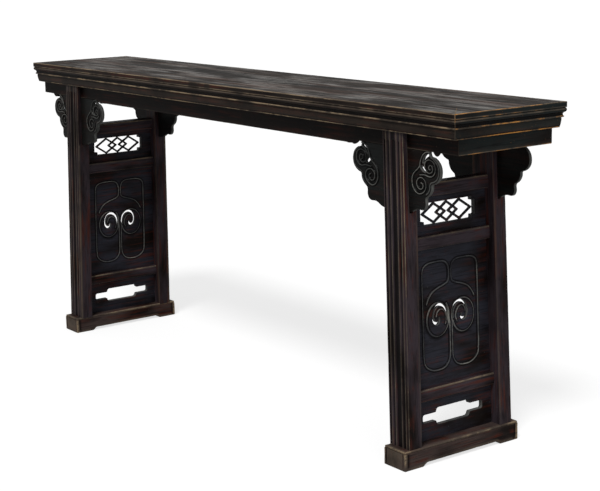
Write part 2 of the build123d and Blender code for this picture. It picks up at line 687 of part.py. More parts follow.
with BuildPart() as leg:
    with BuildSketch(leg_plane(FOOT_HEIGHT)):
        outer_reed_edge = LEG_WIDTH / 2 - EDGE_FILLET_WIDTH
        outer_reed_foot = outer_reed_edge - OUTER_REED_WIDTH
        inner_reed_edge = outer_reed_foot - REED_GROOVE
        inner_reed_foot = inner_reed_edge - INNER_REED_WIDTH
        with BuildLine():
            Polyline(
                (0, LEG_DEPTH),
                (LEG_WIDTH / 2, LEG_DEPTH),
                (LEG_WIDTH / 2, EDGE_FILLET_SETBACK),
                (outer_reed_edge, EDGE_FILLET_SETBACK),
                (outer_reed_edge, REED_DEPTH),
            )
            outer_reed = SagittaArc(
                (outer_reed_edge, REED_DEPTH), (outer_reed_foot, REED_DEPTH), REED_DEPTH
            )
            inner_reed = SagittaArc(
                (inner_reed_edge, REED_DEPTH), (inner_reed_foot, REED_DEPTH), REED_DEPTH
            )
            Line(outer_reed @ 1, inner_reed @ 0)
            ThreePointArc(
                inner_reed @ 1,
                (0, REED_DEPTH + CENTRE_HOLLOW_DEPTH),
                (-inner_reed_foot, REED_DEPTH),
            )
            mirror(outer_reed, about=Plane.YZ)
            mirror(inner_reed, about=Plane.YZ)
            Line((-outer_reed_foot, REED_DEPTH), (-inner_reed_edge, REED_DEPTH))
            Polyline(
                (0, LEG_DEPTH),
                (-LEG_WIDTH / 2, LEG_DEPTH),
                (-LEG_WIDTH / 2, EDGE_FILLET_SETBACK),
                (-outer_reed_edge, EDGE_FILLET_SETBACK),
                (-outer_reed_edge, REED_DEPTH),
            )
        make_face()
    extrude(amount=lean_length(FOOT_HEIGHT, REED_TOP), dir=LEG_LEAN)
    with BuildSketch(leg_plane(REED_TOP)):
        Rectangle(LEG_WIDTH, LEG_DEPTH, align=(Align.CENTER, Align.MIN))
    extrude(amount=lean_length(REED_TOP, FRAME_BOTTOM), dir=LEG_LEAN)
    with Locations((LEG_HEAD_X, -APRON_FACE - FIT, SLOT_BOTTOM)):
        Box(
            2 * LEG_WIDTH,
            APRON_THICKNESS + 2 * FIT,
            SPANDREL_DROP + STRIP_HEIGHT,
            align=(Align.CENTER, Align.MIN, Align.MIN),
            mode=Mode.SUBTRACT,
        )
    with Locations((LEG_HEAD_X, -APRON_FACE, STRIP_BOTTOM)):
        Box(
            2 * LEG_WIDTH,
            LEG_DEPTH,
            STRIP_HEIGHT,
            align=(Align.CENTER, Align.MAX, Align.MIN),
            mode=Mode.SUBTRACT,
        )
    add(head_tenon_solid)
    add(foot_tenon_solid)
    for cutter in (lattice_groove, carved_groove, slotted_groove, *rail_mortises):
        add(cutter, mode=Mode.SUBTRACT)
save_four(leg, "leg")

# ---- rails ----

for rail_name, (rail_bottom, rail_top, tenon_length) in RAILS.items():
    low = up_slope(rail_bottom)
    high = up_slope(rail_top)
    rail_tenon_solid = rail_tenon(rail_bottom, rail_top, tenon_length, 0)
    with BuildPart() as rail:
        with BuildSketch(RAIL_PLANE):
            with BuildLine():
                cheek = ThreePointArc(
                    (RAIL_EDGE_WIDTH / 2, low),
                    (RAIL_WIDTH / 2, (low + high) / 2),
                    (RAIL_EDGE_WIDTH / 2, high),
                )
                Polyline(cheek @ 0, (0, low), (0, high), cheek @ 1)
            make_face()
            mirror(about=Plane.YZ)
        extrude(amount=TOP_DEPTH / 2)
        split(bisect_by=LEG_INNER_PLANE, keep=Keep.BOTTOM)
        add(rail_tenon_solid)
        mirror(about=Plane.XZ)
        for cutter in (lattice_groove, carved_groove, slotted_groove):
            add(cutter, mode=Mode.SUBTRACT)
    save_pair(rail, f"{rail_name}_rail_right", f"{rail_name}_rail_left", Plane.YZ)

# ---- panels of the end frames ----

lattice_middle = up_slope((MIDDLE_RAIL_TOP + TOP_RAIL_BOTTOM) / 2)
lattice_half_height = up_slope(LATTICE_HEIGHT) / 2 - LATTICE_MARGIN
lattice_face = end_frame_panel(MIDDLE_RAIL_TOP, TOP_RAIL_BOTTOM, -FIT)
lattice_tongue = end_frame_panel(MIDDLE_RAIL_TOP, TOP_RAIL_BOTTOM, END_TONGUE_LENGTH)
with BuildSketch(END_PLANE) as lattice_window:
    with Locations((0, lattice_middle)):
        Rectangle(2 * LATTICE_HALF_WIDTH, 2 * (lattice_half_height - CORNER_NOTCH_HEIGHT))
        Rectangle(2 * (LATTICE_HALF_WIDTH - CORNER_NOTCH_WIDTH), 2 * lattice_half_height)
with BuildSketch(END_PLANE) as lattice_bars:
    diamond_rise = lattice_half_height + LATTICE_BAR / 2
    for diamond_y in (-DIAMOND_OFFSET, 0, DIAMOND_OFFSET):
        with BuildLine():
            Polyline(
                (diamond_y - DIAMOND_REACH, lattice_middle),
                (diamond_y, lattice_middle + diamond_rise),
                (diamond_y + DIAMOND_REACH, lattice_middle),
                (diamond_y, lattice_middle - diamond_rise),
                close=True,
            )
        trace(line_width=LATTICE_BAR)

with BuildPart() as lattice_panel:
    extrude(lattice_face, amount=END_PANEL_THICKNESS / 2, both=True)
    extrude(lattice_tongue, amount=END_TONGUE_THICKNESS / 2, both=True)
    extrude(
        lattice_window.sketch, amount=END_PANEL_THICKNESS, both=True, mode=Mode.SUBTRACT
    )
    extrude(lattice_bars.sketch, amount=LATTICE_THICKNESS / 2, both=True)
save_pair(lattice_panel, "lattice_panel_right", "lattice_panel_left", Plane.YZ)

slot_middle = up_slope((FOOT_HEIGHT + LOWER_RAIL_BOTTOM) / 2) + SLOT_RISE
with BuildSketch(END_PLANE) as slot_window:
    with Locations((0, slot_middle)):
        Rectangle(SLOT_MIDDLE_LENGTH, SLOT_MIDDLE_HEIGHT)
        fillet(slot_window.vertices(), SLOT_SHOULDER_ROUND)
        RectangleRounded(SLOT_LENGTH, SLOT_END_HEIGHT, SLOT_END_ROUND)
slotted_face = end_frame_panel(FOOT_HEIGHT, LOWER_RAIL_BOTTOM, -FIT)
slotted_tongue = end_frame_panel(FOOT_HEIGHT, LOWER_RAIL_BOTTOM, END_TONGUE_LENGTH)
with BuildPart() as slotted_panel:
    extrude(slotted_face, amount=END_PANEL_THICKNESS / 2, both=True)
    split(bisect_by=Plane.XY.offset(FOOT_HEIGHT + FIT), keep=Keep.TOP)
    extrude(slotted_tongue, amount=END_TONGUE_THICKNESS / 2, both=True)
    extrude(slot_window.sketch, amount=END_PANEL_THICKNESS, both=True, mode=Mode.SUBTRACT)
save_pair(slotted_panel, "slotted_panel_right", "slotted_panel_left", Plane.YZ)

panel_low = up_slope(LOWER_RAIL_TOP)
panel_high = up_slope(MIDDLE_RAIL_BOTTOM)
outline_y = leg_inner_y((LOWER_RAIL_TOP + MIDDLE_RAIL_BOTTOM) / 2) - CARVED_BORDER
middle_y = CARVED_MIDDLE_GAP / 2
stretch = (panel_high - panel_low) / CARVING_HEIGHT
petal_top = panel_high - PETAL_TOP_MARGIN * stretch
petal_foot = petal_top - PETAL_HEIGHT * stretch
boss_y = middle_y + BOSS_GAP + BOSS_WIDTH / 2
boss_z = panel_low + BOSS_CENTRE_RISE * stretch


def on_boss(out, up):
    """Point of the right half's boss, as far out and up from its middle."""
    return (boss_y + out, boss_z + up * stretch)


carved_face = end_frame_panel(LOWER_RAIL_TOP, MIDDLE_RAIL_BOTTOM, -FIT)
carved_tongue = end_frame_panel(LOWER_RAIL_TOP, MIDDLE_RAIL_BOTTOM, END_TONGUE_LENGTH)
lobe_foot = panel_low + LOBE_FOOT_MARGIN * stretch
with BuildSketch(END_PLANE) as carved_halves:
    with Locations(((middle_y + outline_y) / 2, (lobe_foot + petal_top) / 2)):
        half = Rectangle(outline_y - middle_y, petal_top - lobe_foot)
    fillet(half.vertices().sort_by(Axis.Y)[:2], LOBE_FOOT_ROUND)
    fillet(carved_halves.vertices().sort_by(Axis.Y)[-2:], PETAL_SHOULDER)
    with BuildLine():
        Polyline(
            (middle_y, petal_foot),
            (outline_y - PETAL_SHOULDER, petal_foot - PETAL_TAIL_DROP * stretch),
            (middle_y, boss_z),
            close=True,
        )
    make_face(mode=Mode.SUBTRACT)
    with Locations((boss_y, boss_z)):
        RectangleRounded(BOSS_WIDTH, BOSS_HEIGHT * stretch, BOSS_ROUND)
    mirror(about=Plane.YZ)
with BuildSketch(END_PLANE) as boss_piercings:
    for start, end, outer_rise, inner_rise in PIERCED_CRESCENTS:
        with BuildLine():
            outer_side = SagittaArc(on_boss(*start), on_boss(*end), outer_rise)
            SagittaArc(outer_side @ 0, outer_side @ 1, inner_rise)
        make_face()
    mirror(about=Plane.YZ)

with BuildPart() as carved_panel:
    extrude(carved_face, amount=END_PANEL_THICKNESS / 2, both=True)
    extrude(carved_tongue, amount=END_TONGUE_THICKNESS / 2, both=True)
    extrude(carved_halves.sketch, amount=END_PANEL_THICKNESS / 2 + CARVING_PROUD, both=True)
    extrude(boss_piercings.sketch, amount=END_PANEL_THICKNESS, both=True, mode=Mode.SUBTRACT)
save_pair(carved_panel, "carved_panel_right", "carved_panel_left", Plane.YZ)

# ---- shoe feet ----

foot_body_height = FOOT_HEIGHT - FOOT_CAP_HEIGHT
with BuildPart() as shoe_foot:
    with BuildSketch(Plane.XY.offset(foot_body_height)) as foot_cap:
        with Locations((FOOT_X, 0)):
            Rectangle(FOOT_WIDTH - 2 * FOOT_CAP_STEP, FOOT_LENGTH - 2 * FOOT_CAP_STEP)
        chamfer(foot_cap.vertices(), FOOT_CAP_CHAMFER)
    extrude(amount=FOOT_CAP_HEIGHT)
    chamfer(shoe_foot.faces().sort_by(Axis.Z)[-1].edges(), FOOT_CAP_CHAMFER)
    with BuildSketch():
        with Locations((FOOT_X, 0)):
            RectangleRounded(FOOT_WIDTH, FOOT_LENGTH, FOOT_CORNER_ROUND)
            bead_x = FOOT_WIDTH / 2 - FOOT_CORNER_BEAD
            bead_y = FOOT_LENGTH / 2 - FOOT_CORNER_BEAD
            with GridLocations(FOOT_WIDTH, 2 * bead_y, 2, 2):
                Rectangle(FOOT_GROOVE, FOOT_GROOVE, rotation=45, mode=Mode.SUBTRACT)
            with GridLocations(2 * bead_x, FOOT_LENGTH, 2, 2):
                Rectangle(FOOT_GROOVE, FOOT_GROOVE, rotation=45, mode=Mode.SUBTRACT)
    extrude(amount=foot_body_height)
    with BuildSketch(Plane.YZ.offset(FOOT_X)):
        with BuildLine():
            low_curve = SagittaArc(
                (RELIEF_HALF_LENGTH, 0),
                (RELIEF_HALF_LENGTH - RELIEF_OGEE / 2, RELIEF_HEIGHT / 2),
                RELIEF_CURVE,
            )
            high_curve = SagittaArc(
                low_curve @ 1, (RELIEF_HALF_LENGTH - RELIEF_OGEE, RELIEF_HEIGHT), -RELIEF_CURVE
            )
            Polyline(high_curve @ 1, (0, RELIEF_HEIGHT), (0, 0), low_curve @ 0)
        make_face()
        mirror(about=Plane.YZ)
    extrude(amount=FOOT_WIDTH, both=True, mode=Mode.SUBTRACT)
    add(foot_mortise, mode=Mode.SUBTRACT)
    mirror(foot_mortise, about=Plane.XZ, mode=Mode.SUBTRACT)
    add(slotted_groove, mode=Mode.SUBTRACT)
save_pair(shoe_foot, "shoe_foot_right", "shoe_foot_left", Plane.YZ)
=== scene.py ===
"""Chinese altar table: finishes every board of the table in old lacquered hardwood and lights it.

Shapes are worked out in millimetres in the frame of the joinery: +X along the table to the right
end, -Y the front, +Z up, origin on the floor below the middle of the top.
"""

import math

import bmesh
import bpy
import numpy as np
from bpy.props import FloatProperty, FloatVectorProperty, PointerProperty
from mathutils import Matrix, Vector, noise


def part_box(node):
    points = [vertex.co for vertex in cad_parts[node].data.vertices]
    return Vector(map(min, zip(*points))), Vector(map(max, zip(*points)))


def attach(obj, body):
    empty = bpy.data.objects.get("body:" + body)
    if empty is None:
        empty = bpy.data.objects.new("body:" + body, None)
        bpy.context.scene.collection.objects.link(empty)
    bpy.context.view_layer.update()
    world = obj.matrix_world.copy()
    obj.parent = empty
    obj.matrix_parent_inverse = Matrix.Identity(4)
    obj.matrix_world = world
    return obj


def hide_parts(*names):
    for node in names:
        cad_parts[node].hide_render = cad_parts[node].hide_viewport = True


bl_info = {
    "name": "Chinese altar table",
    "version": (1, 0, 0),
    "blender": (4, 5, 0),
    "location": "3D View > Sidebar > Altar table",
    "description": "Dresses the joinery of an altar table in aged lacquered hardwood",
    "category": "Add Mesh",
}

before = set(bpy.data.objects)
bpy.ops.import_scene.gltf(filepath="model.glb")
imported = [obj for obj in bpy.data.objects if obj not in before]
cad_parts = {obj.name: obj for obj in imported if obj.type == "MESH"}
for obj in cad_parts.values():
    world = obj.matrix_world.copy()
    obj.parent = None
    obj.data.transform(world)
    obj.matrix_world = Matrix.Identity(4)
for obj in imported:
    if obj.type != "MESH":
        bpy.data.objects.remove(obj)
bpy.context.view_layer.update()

MM = 0.001


def corners_mm(node):
    """Lowest and highest corner of a piece of the joinery, in millimetres."""
    low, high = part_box(node)
    return np.array(low) / MM, np.array(high) / MM


# ---- sizes read from the joinery ----
FRAME_LOW, FRAME_HIGH = corners_mm("top_frame_front")
HALF_LENGTH = FRAME_HIGH[0]
HALF_DEPTH = -FRAME_LOW[1]
TABLE_HEIGHT = FRAME_HIGH[2]
FRAME_BOTTOM = FRAME_LOW[2]
STRIP_BOTTOM = corners_mm("edge_strip_front")[0][2]
APRON_FACE = -corners_mm("apron_front")[0][1]
END_APRON_FACE = corners_mm("apron_right")[1][0]
SPANDREL_LOW, SPANDREL_HIGH = corners_mm("spandrel_front_right")
SPANDREL_X = (SPANDREL_LOW[0] + SPANDREL_HIGH[0]) / 2
SLOT_BOTTOM = SPANDREL_LOW[2]
FOOT_LOW, FOOT_HIGH = corners_mm("shoe_foot_right")
FOOT_X = (FOOT_LOW[0] + FOOT_HIGH[0]) / 2
FOOT_HALF_LENGTH = FOOT_HIGH[1]
FOOT_HALF_WIDTH = (FOOT_HIGH[0] - FOOT_LOW[0]) / 2
FOOT_HEIGHT = FOOT_HIGH[2]

# ---- boards of the top ----
FRAME_WIDTH = 88.0
FILLET_BAND = 14.0  # plain band at the top of the edge
BEAD_HEIGHT = 11.0
COVE_HEIGHT = 9.0
TOP_BOARD_THICKNESS = 16.0
SEAM = 0.5  # open seam between boards
MITRE_RUB = 0.8
MITRE_RUB_WIDTH = 2.6
STRIP_FACE = 9.0
STRIP_FOOT = 11.5
STRIP_BEAD = 3.2
APRON_INSET = HALF_DEPTH - APRON_FACE
END_APRON_INSET = HALF_LENGTH - END_APRON_FACE
APRON_THICKNESS = 10.0
APRON_SHOW = 38.5  # at the ends and over the spandrels
APRON_RUN_SHOW = 46.0  # between the legs
CUSP_START = 139.0  # lobe of the apron beside each spandrel, from the spandrel's middle
CUSP_END = 166.0
CUSP_DROP = 47.6
RIPPLE_END = 190.0
RIPPLE_SWELL = 1.0
RUN_STEP = 9.0  # between the rings of a long board
APRON_STEP = 12.0
CUSP_STEP = 1.2
SHORT_RUN_STEP = 0.06  # share of half the length of a rail or end apron

# ---- legs ----
LEG_SPLAY = math.radians(2.334)
LEG_SIDE_SPLAY = math.radians(0.658)
LEG_HEAD_X = HALF_LENGTH - 238.1
FRONT_CHEEK = 13.8
LEG_WIDTH = 75.5
LEG_DEPTH = 41.0
REED_TOP = STRIP_BOTTOM - 18.0
REED_FADE = 5.0  # height over which the reeds run out
OUTER_REED = (20.0, 33.0)
INNER_REED = (6.0, 18.0)
# painted highlight as well as polish along the crests of the reeds
REED_SHEEN = 0.44
LEG_STEP = 14.0

# ---- rails and panels of the end frames, as heights above the floor ----
TOP_RAIL = (669.0, 703.0)
MIDDLE_RAIL = (539.0, 572.5)
LOWER_RAIL = (155.0, 186.0)
RAIL_HALF = 21.0
RAIL_EDGE_HALF = 19.5
RAIL_ARRIS = 2.4
PANEL_HALF = 6.5
PANEL_HOUSING = 4.0  # hidden in the grooves of legs and rails
WINDOW_HALF = (90.0, 27.2)
WINDOW_RISE = 3.5  # above the middle of its panel
NOTCH = (11.0, 9.0)
LATTICE_BAR = 5.9
LATTICE_HALF = 4.0
LATTICE_RIDGE = 0.8
# interlaced diamonds of the lattice: middle across the table, half width, half height
DIAMONDS = ((-42.9, 37.4, 24.0), (0.0, 34.6, 23.8), (42.9, 37.4, 24.0))
SLOT_HALF_LENGTH = 101.0
SLOT_END_HALF = 10.5
SLOT_MIDDLE_HALF = (56.0, 21.5)
SLOT_RISE = 3.5
SLOT_BLEND = 5.0  # how softly the slot's steps run into each other

# ---- carving ----
EDGE_SHEEN = 0.34  # how far the edges of carved boards are rubbed and painted light as sheen
DISH_DEPTH = 3.2  # how far the scrolls are hollowed towards their openings
DISH_SLOPE = 6.0
PETAL_SLOPE = 7.0  # width over which the ground falls away inside a bead
LOBE_SLOPE = 9.0
BOSS_SLOPE = 4.0
SPANDREL_LEAN = 0.04  # the carving follows the lean of its leg
LEAN_LEVEL = 100.0
WING_TOP = 38.5  # drops of the spandrel board's edges below the strip
WING_BOTTOM = 196.0
WING_REACH = 164.0
WING_MARGIN = 1.5  # empty part of the grid round the board
CARVING_STEP = 1.2
IN_LEG = (60.0, 180.0)  # half width and drop of the foot of the board, inside its leg
SLOT_HALF = 12.0  # half width inside the leg's slot that the wing's line leaves out

# ---- feet ----
CAP_HEIGHT = 6.0
CAP_STEP = 1.5
CAP_ROUND = 5.4
CAP_SWELL = 1.35
CORNER_BEAD = 9.0
CORNER_ROUND = 2.6
CORNER_GROOVE = 1.4
RELIEF_HEIGHT = 9.0
RELIEF_ENDS = (118.0, 135.0)
SOLE_ARRIS = 1.2

# ---- finishes ----
WAVES = 0.011  # of an old planed face, to the millimetre
KNOCKS = 0.09  # along a worn edge, to the millimetre
PATCHES = 9.0  # worn patches to the metre
FLECKS = 260.0  # bare flecks to the metre, coarser than the real ones so that they show
WOOD_IOR = 1.45
WAX_SPECULAR = 0.08  # dry old wax hardly shines
SHARP_ANGLE = math.radians(38)

# ---- view and room ----
CAMERA_PLACE = (3472.2, -2404.5, 1292.4)
CAMERA_YAW = 0.9359
CAMERA_PITCH = -0.2078
CAMERA_ROLL = -0.0195
CAMERA_LENS = 87.08
KEY_FROM = (0.36, -0.59, 1.0)  # direction towards the main light
KEY_WIDTH = math.radians(15)
KEY_POWER = 1.6
SOFTBOX_PLACE = (3.3, -0.5, 1.5)  # metres
SOFTBOX_AIM = (0.85, 0.0, 0.45)
SOFTBOX_SIZE = 2.2
SOFTBOX_POWER = 12.0
FLOOR_REACH = 60.0
FLOOR_GLOW = 0.70  # added for rays that show the background
ROOM_GLOW = 0.72
ROOM_FILL = 0.3
GLOSS_SHARE = 0.1  # how much of the white background gloss shows


def linear(hex_code):
    """Linear colour of an sRGB hex value."""
    channels = (int(hex_code[i : i + 2], 16) / 255 for i in (1, 3, 5))
    return tuple(c / 12.92 if c <= 0.04045 else ((c + 0.055) / 1.055) ** 2.4 for c in channels)


def millimetres(name, description, default):
    """A length that a user may change."""
    return FloatProperty(name=name, description=description, default=default * MM, unit="LENGTH")


def tone(name, description, default):
    """A colour that a user may change."""
    settings = {"subtype": "COLOR", "size": 3, "min": 0, "max": 1, "default": linear(default)}
    return FloatVectorProperty(name=name, description=description, **settings)


class AltarSizes(bpy.types.PropertyGroup):
    """Sizes of the carving, the mouldings and the wear."""

    carving: millimetres("Carving", "Height of the carved beads above the ground", 2.4)
    bead_width: millimetres("Bead width", "Width of the carved beads", 4.8)
    ground: millimetres("Ground", "How far the carved ground is lowered", 2.0)
    reed_depth: millimetres("Reed depth", "Depth of the grooves between the reeds of the legs", 2.5)
    wave: millimetres("Wave", "Unevenness of the old planed faces", 0.35)
    chip: millimetres("Chips", "Depth of the knocks along worn edges", 1.0)
    grain: millimetres("Grain", "Spacing of the wood's grain lines", 2.2)


class AltarColours(bpy.types.PropertyGroup):
    """Colours of the finish, the wear and the room."""

    lacquer: tone("Lacquer", "Dark lacquer over the whole table", "#17110f")
    # Pooled lacquer also paints shade in grooves, coves and hollows.
    pooled_and_shade: tone("Pooled lacquer", "Lacquer and dust gathered in hollows", "#080606")
    red: tone("Red wood", "Reddish wood that shows where the lacquer is thin", "#55271b")
    olive: tone("Olive", "Brown bloom of old lacquer", "#382f29")
    # Its cool tint also paints the grey sheen of the upright faces of legs and rails.
    violet: tone("Violet bloom", "Cool bloom on smooth upright faces", "#443b41")
    blue: tone("Blue bloom", "Cooler bloom on the panels", "#33343d")
    teal: tone("Teal bloom", "Dark greenish bloom on the right end", "#1f2626")
    # Polish, Grey polish and Grey wood also paint highlights and sheen on beads, crests, arrises
    # and carved edges, besides real polish and bare wood.
    polish_and_highlight: tone("Polish", "Arrises and beads polished by hands", "#675c50")
    steel: tone("Grey polish", "Polished edges of the carved boards", "#6a6b68")
    grey: tone("Grey wood", "Bare crests of the carving", "#8c8a82")
    worn: tone("Worn wood", "Bare wood on rubbed edges", "#9b876d")
    amber: tone("Amber", "Fresh wood on the arrises of the right end", "#cf9048")
    foot: tone("Foot bloom", "Dusty bloom on the feet", "#5f504c")
    # Top board is made lighter, and Top light lays pale patches, to paint the grazing sheen of the
    # boards as well as their greyed wood.
    top: tone("Top board", "Weathered boards of the top", "#423e3b")
    top_grey_and_sheen: tone("Top light", "Greyed patches of the top boards", "#9e9b97")
    top_red: tone("Top red", "Reddish brown streaks in the top boards", "#6a4430")
    top_dark: tone("Top grain", "Dark grain of the top boards", "#1b1714")
    floor: tone("Floor", "Plain pale floor", "#b6b6b6")


# ---- shapes ----
# A shape is its points, its faces and the wear and painted light of each point: how much hands
# and cloths have worn it from 0 to 1, which also paints highlights on beads, crests and arrises,
# or below 0 how dark it stays with pooled lacquer, which also paints shade in grooves and hollows.


def curve(start, end, sagitta=0.0, steps=1, wear_light=0.0):
    """Points with their wear and painted light from start up to, not including, end, bulging left
    by the sagitta.
    """
    start = np.array(start, float)
    chord = np.array(end, float) - start
    left = np.array((-chord[1], chord[0])) / max(np.hypot(*chord), 1e-9)
    t = np.linspace(0, 1, steps, endpoint=False)[:, None]
    points = start + chord * t + left * 4 * sagitta * t * (1 - t)
    return np.hstack([points, np.full((steps, 1), wear_light)])


def profile(*rows):
    """Section from rows of x, y, sagitta, steps and wear with painted light, each up to the next
    row's point.

    The last row runs back to the first, or gives x and y alone where the section stays open.
    """
    stretches = zip(rows, rows[1:] + rows[:1])
    return np.vstack([curve(row[:2], end[:2], *row[2:]) for row, end in stretches if row[2:]])


def spread(start, end, step):
    """Even values from start to end, about a step apart."""
    count = max(2, int(round(abs(end - start) / step)) + 1)
    return np.linspace(start, end, count)


def loft(rings):
    """Shape through a row of closed rings of x, y, z and wear with painted light, with flat ends.
    """
    rows, count = len(rings), len(rings[0])
    faces = []
    for first in range(0, (rows - 1) * count, count):
        for column in range(count):
            here, following = first + column, first + (column + 1) % count
            faces.append((here, following, following + count, here + count))
    faces.append(tuple(range(count - 1, -1, -1)))
    faces.append(tuple(range((rows - 1) * count, rows * count)))
    skin = np.vstack(rings)
    return skin[:, :3], faces, skin[:, 3]


def join(shapes):
    """One shape from several."""
    faces = []
    shift = 0
    for points, shape_faces, _ in shapes:
        faces += [tuple(index + shift for index in face) for face in shape_faces]
        shift += len(points)
    return np.vstack([shape[0] for shape in shapes]), faces, np.concatenate([s[2] for s in shapes])


def grid_noise(points, scale, seed=0.0):
    """Smooth noise at every point, for features about 1 / scale millimetres wide."""
    return np.array([noise.noise(Vector(p) * scale + Vector((seed, seed, seed))) for p in points])


def finish_piece(node, form, shape, paint, seed=0.0, turn=(1, 1, 1)):
    """Ages the faces of a shape, paints it, hangs it on the root body and hides its piece of the
    joinery.
    """
    sizes = bpy.context.scene.altar_sizes
    points, faces, wear_light = shape
    points = points * turn
    name = f"{node}_{form}"
    mesh = bpy.data.meshes.new(name)
    mesh.from_pydata((points * MM).tolist(), [], faces)
    shaping = bmesh.new()
    shaping.from_mesh(mesh)
    bmesh.ops.recalc_face_normals(shaping, faces=shaping.faces)
    shaping.to_mesh(mesh)
    shaping.free()
    normals = np.array([vertex.normal for vertex in mesh.vertices])
    swell = grid_noise(points, WAVES, seed) * sizes.wave
    chips = np.clip(grid_noise(points, KNOCKS, seed + 7) - 0.15, 0, 1) * sizes.chip * 2
    shift = swell * 0.6 - chips * np.clip(wear_light, 0, 1)
    mesh.vertices.foreach_set("co", (points * MM + normals * shift[:, None]).ravel())
    wear_and_painted_light = mesh.attributes.new("wear_and_painted_light", "FLOAT", "POINT")
    wear_and_painted_light.data.foreach_set("value", wear_light)
    mesh.shade_smooth()
    mesh.set_sharp_from_angle(angle=SHARP_ANGLE)
    mesh.materials.append(finish(paint))
    piece = bpy.data.objects.new(name, mesh)
    bpy.context.scene.collection.objects.link(piece)
    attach(piece, "root")
    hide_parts(node)
    return piece


# ---- carved boards: a raised relief over a grid, cut to an outline ----


def away_from_taper(points, line):
    """Distance from a line whose third column is its half width, negative inside."""
    nearest = np.full(len(points), np.inf)
    for start, end in zip(line[:-1], line[1:]):
        run = (end - start)[:2]
        t = np.clip(((points - start[:2]) @ run) / max(run @ run, 1e-9), 0, 1)
        away = np.hypot(*(points - start[:2] - t[:, None] * run).T)
        nearest = np.minimum(nearest, away - start[2] - t * (end[2] - start[2]))
    return nearest


def away_from(points, line, closed=False):
    """Distance of each point from a line of points."""
    line = np.array(line, float)
    if closed:
        line = np.vstack([line, line[:1]])
    return away_from_taper(points, np.column_stack([line, np.zeros(len(line))]))


def within(points, outline):
    """Signed distance from a closed outline, negative inside it."""
    outline = np.array(outline, float)
    inside = np.zeros(len(points), bool)
    for start, end in zip(outline, np.roll(outline, -1, axis=0)):
        crosses = (start[1] > points[:, 1]) != (end[1] > points[:, 1])
        rise = end[1] - start[1]
        if rise:
            at = start[0] + (points[:, 1] - start[1]) / rise * (end[0] - start[0])
            inside ^= crosses & (points[:, 0] < at)
    return np.where(inside, -1, 1) * away_from(points, outline, closed=True)


def rounded_box(across, up, half_width, half_height, radius):
    """Signed distance from a box with rounded corners."""
    dx = across - half_width + radius
    dy = up - half_height + radius
    outside = np.hypot(np.clip(dx, 0, None), np.clip(dy, 0, None))
    return outside + np.minimum(np.maximum(dx, dy), 0) - radius


def smooth_line(points, steps=8):
    """A smooth curve through the points of a carver's line."""
    points = np.array(points, float)
    line = []
    for i, (start, end) in enumerate(zip(points[:-1], points[1:])):
        before = points[max(i - 1, 0)]
        after = points[min(i + 2, len(points) - 1)]
        for t in np.linspace(0, 1, steps, endpoint=False):
            bend = (2 * before - 5 * start + 4 * end - after) * t**2
            bend += (3 * start - before - 3 * end + after) * t**3
            line.append(0.5 * (2 * start + (end - before) * t + bend))
    return np.array(line + [points[-1]])


def oval(centre, half_width, half_height, steps=48):
    """Points round an oval."""
    turn = np.linspace(0, 2 * math.pi, steps, endpoint=False)
    reach = np.column_stack([half_width * np.cos(turn), half_height * np.sin(turn)])
    return np.array(centre) + reach


def bead(distance, width, height):
    """Half round bead along a carved line, with a fine groove on both sides."""
    across = np.clip(np.abs(distance) / (width / 2), 0, 1)
    groove = np.exp(-(((np.abs(distance) - width / 2 - 1.0) / 0.9) ** 2))
    return height * np.sqrt(1 - across**2) - 0.35 * height * groove


def crest_line(distance, width):
    """Wear and painted light of a carved bead: light along its top as wear and a painted highlight,
    dark in the grooves beside it as painted shade as well as pooled lacquer.
    """
    crest = 0.62 * np.clip(2.3 - np.abs(distance) / (0.17 * width), 0, 1)
    groove = 0.9 * np.exp(-(((np.abs(distance) - width / 2 - 1.2) / 1.5) ** 2))
    return np.where(crest > 0.02, crest, -groove)


def strongest(wear_lights):
    """The lightest of several marks of wear and painted light, and where none is light the darkest.
    """
    light = np.maximum.reduce(wear_lights)
    return np.where(light > 0.02, light, np.minimum.reduce(wear_lights))


def half_of(grid):
    """Points folded onto one half of a symmetrical board."""
    return np.column_stack([np.abs(grid[:, 0]), grid[:, 1]])


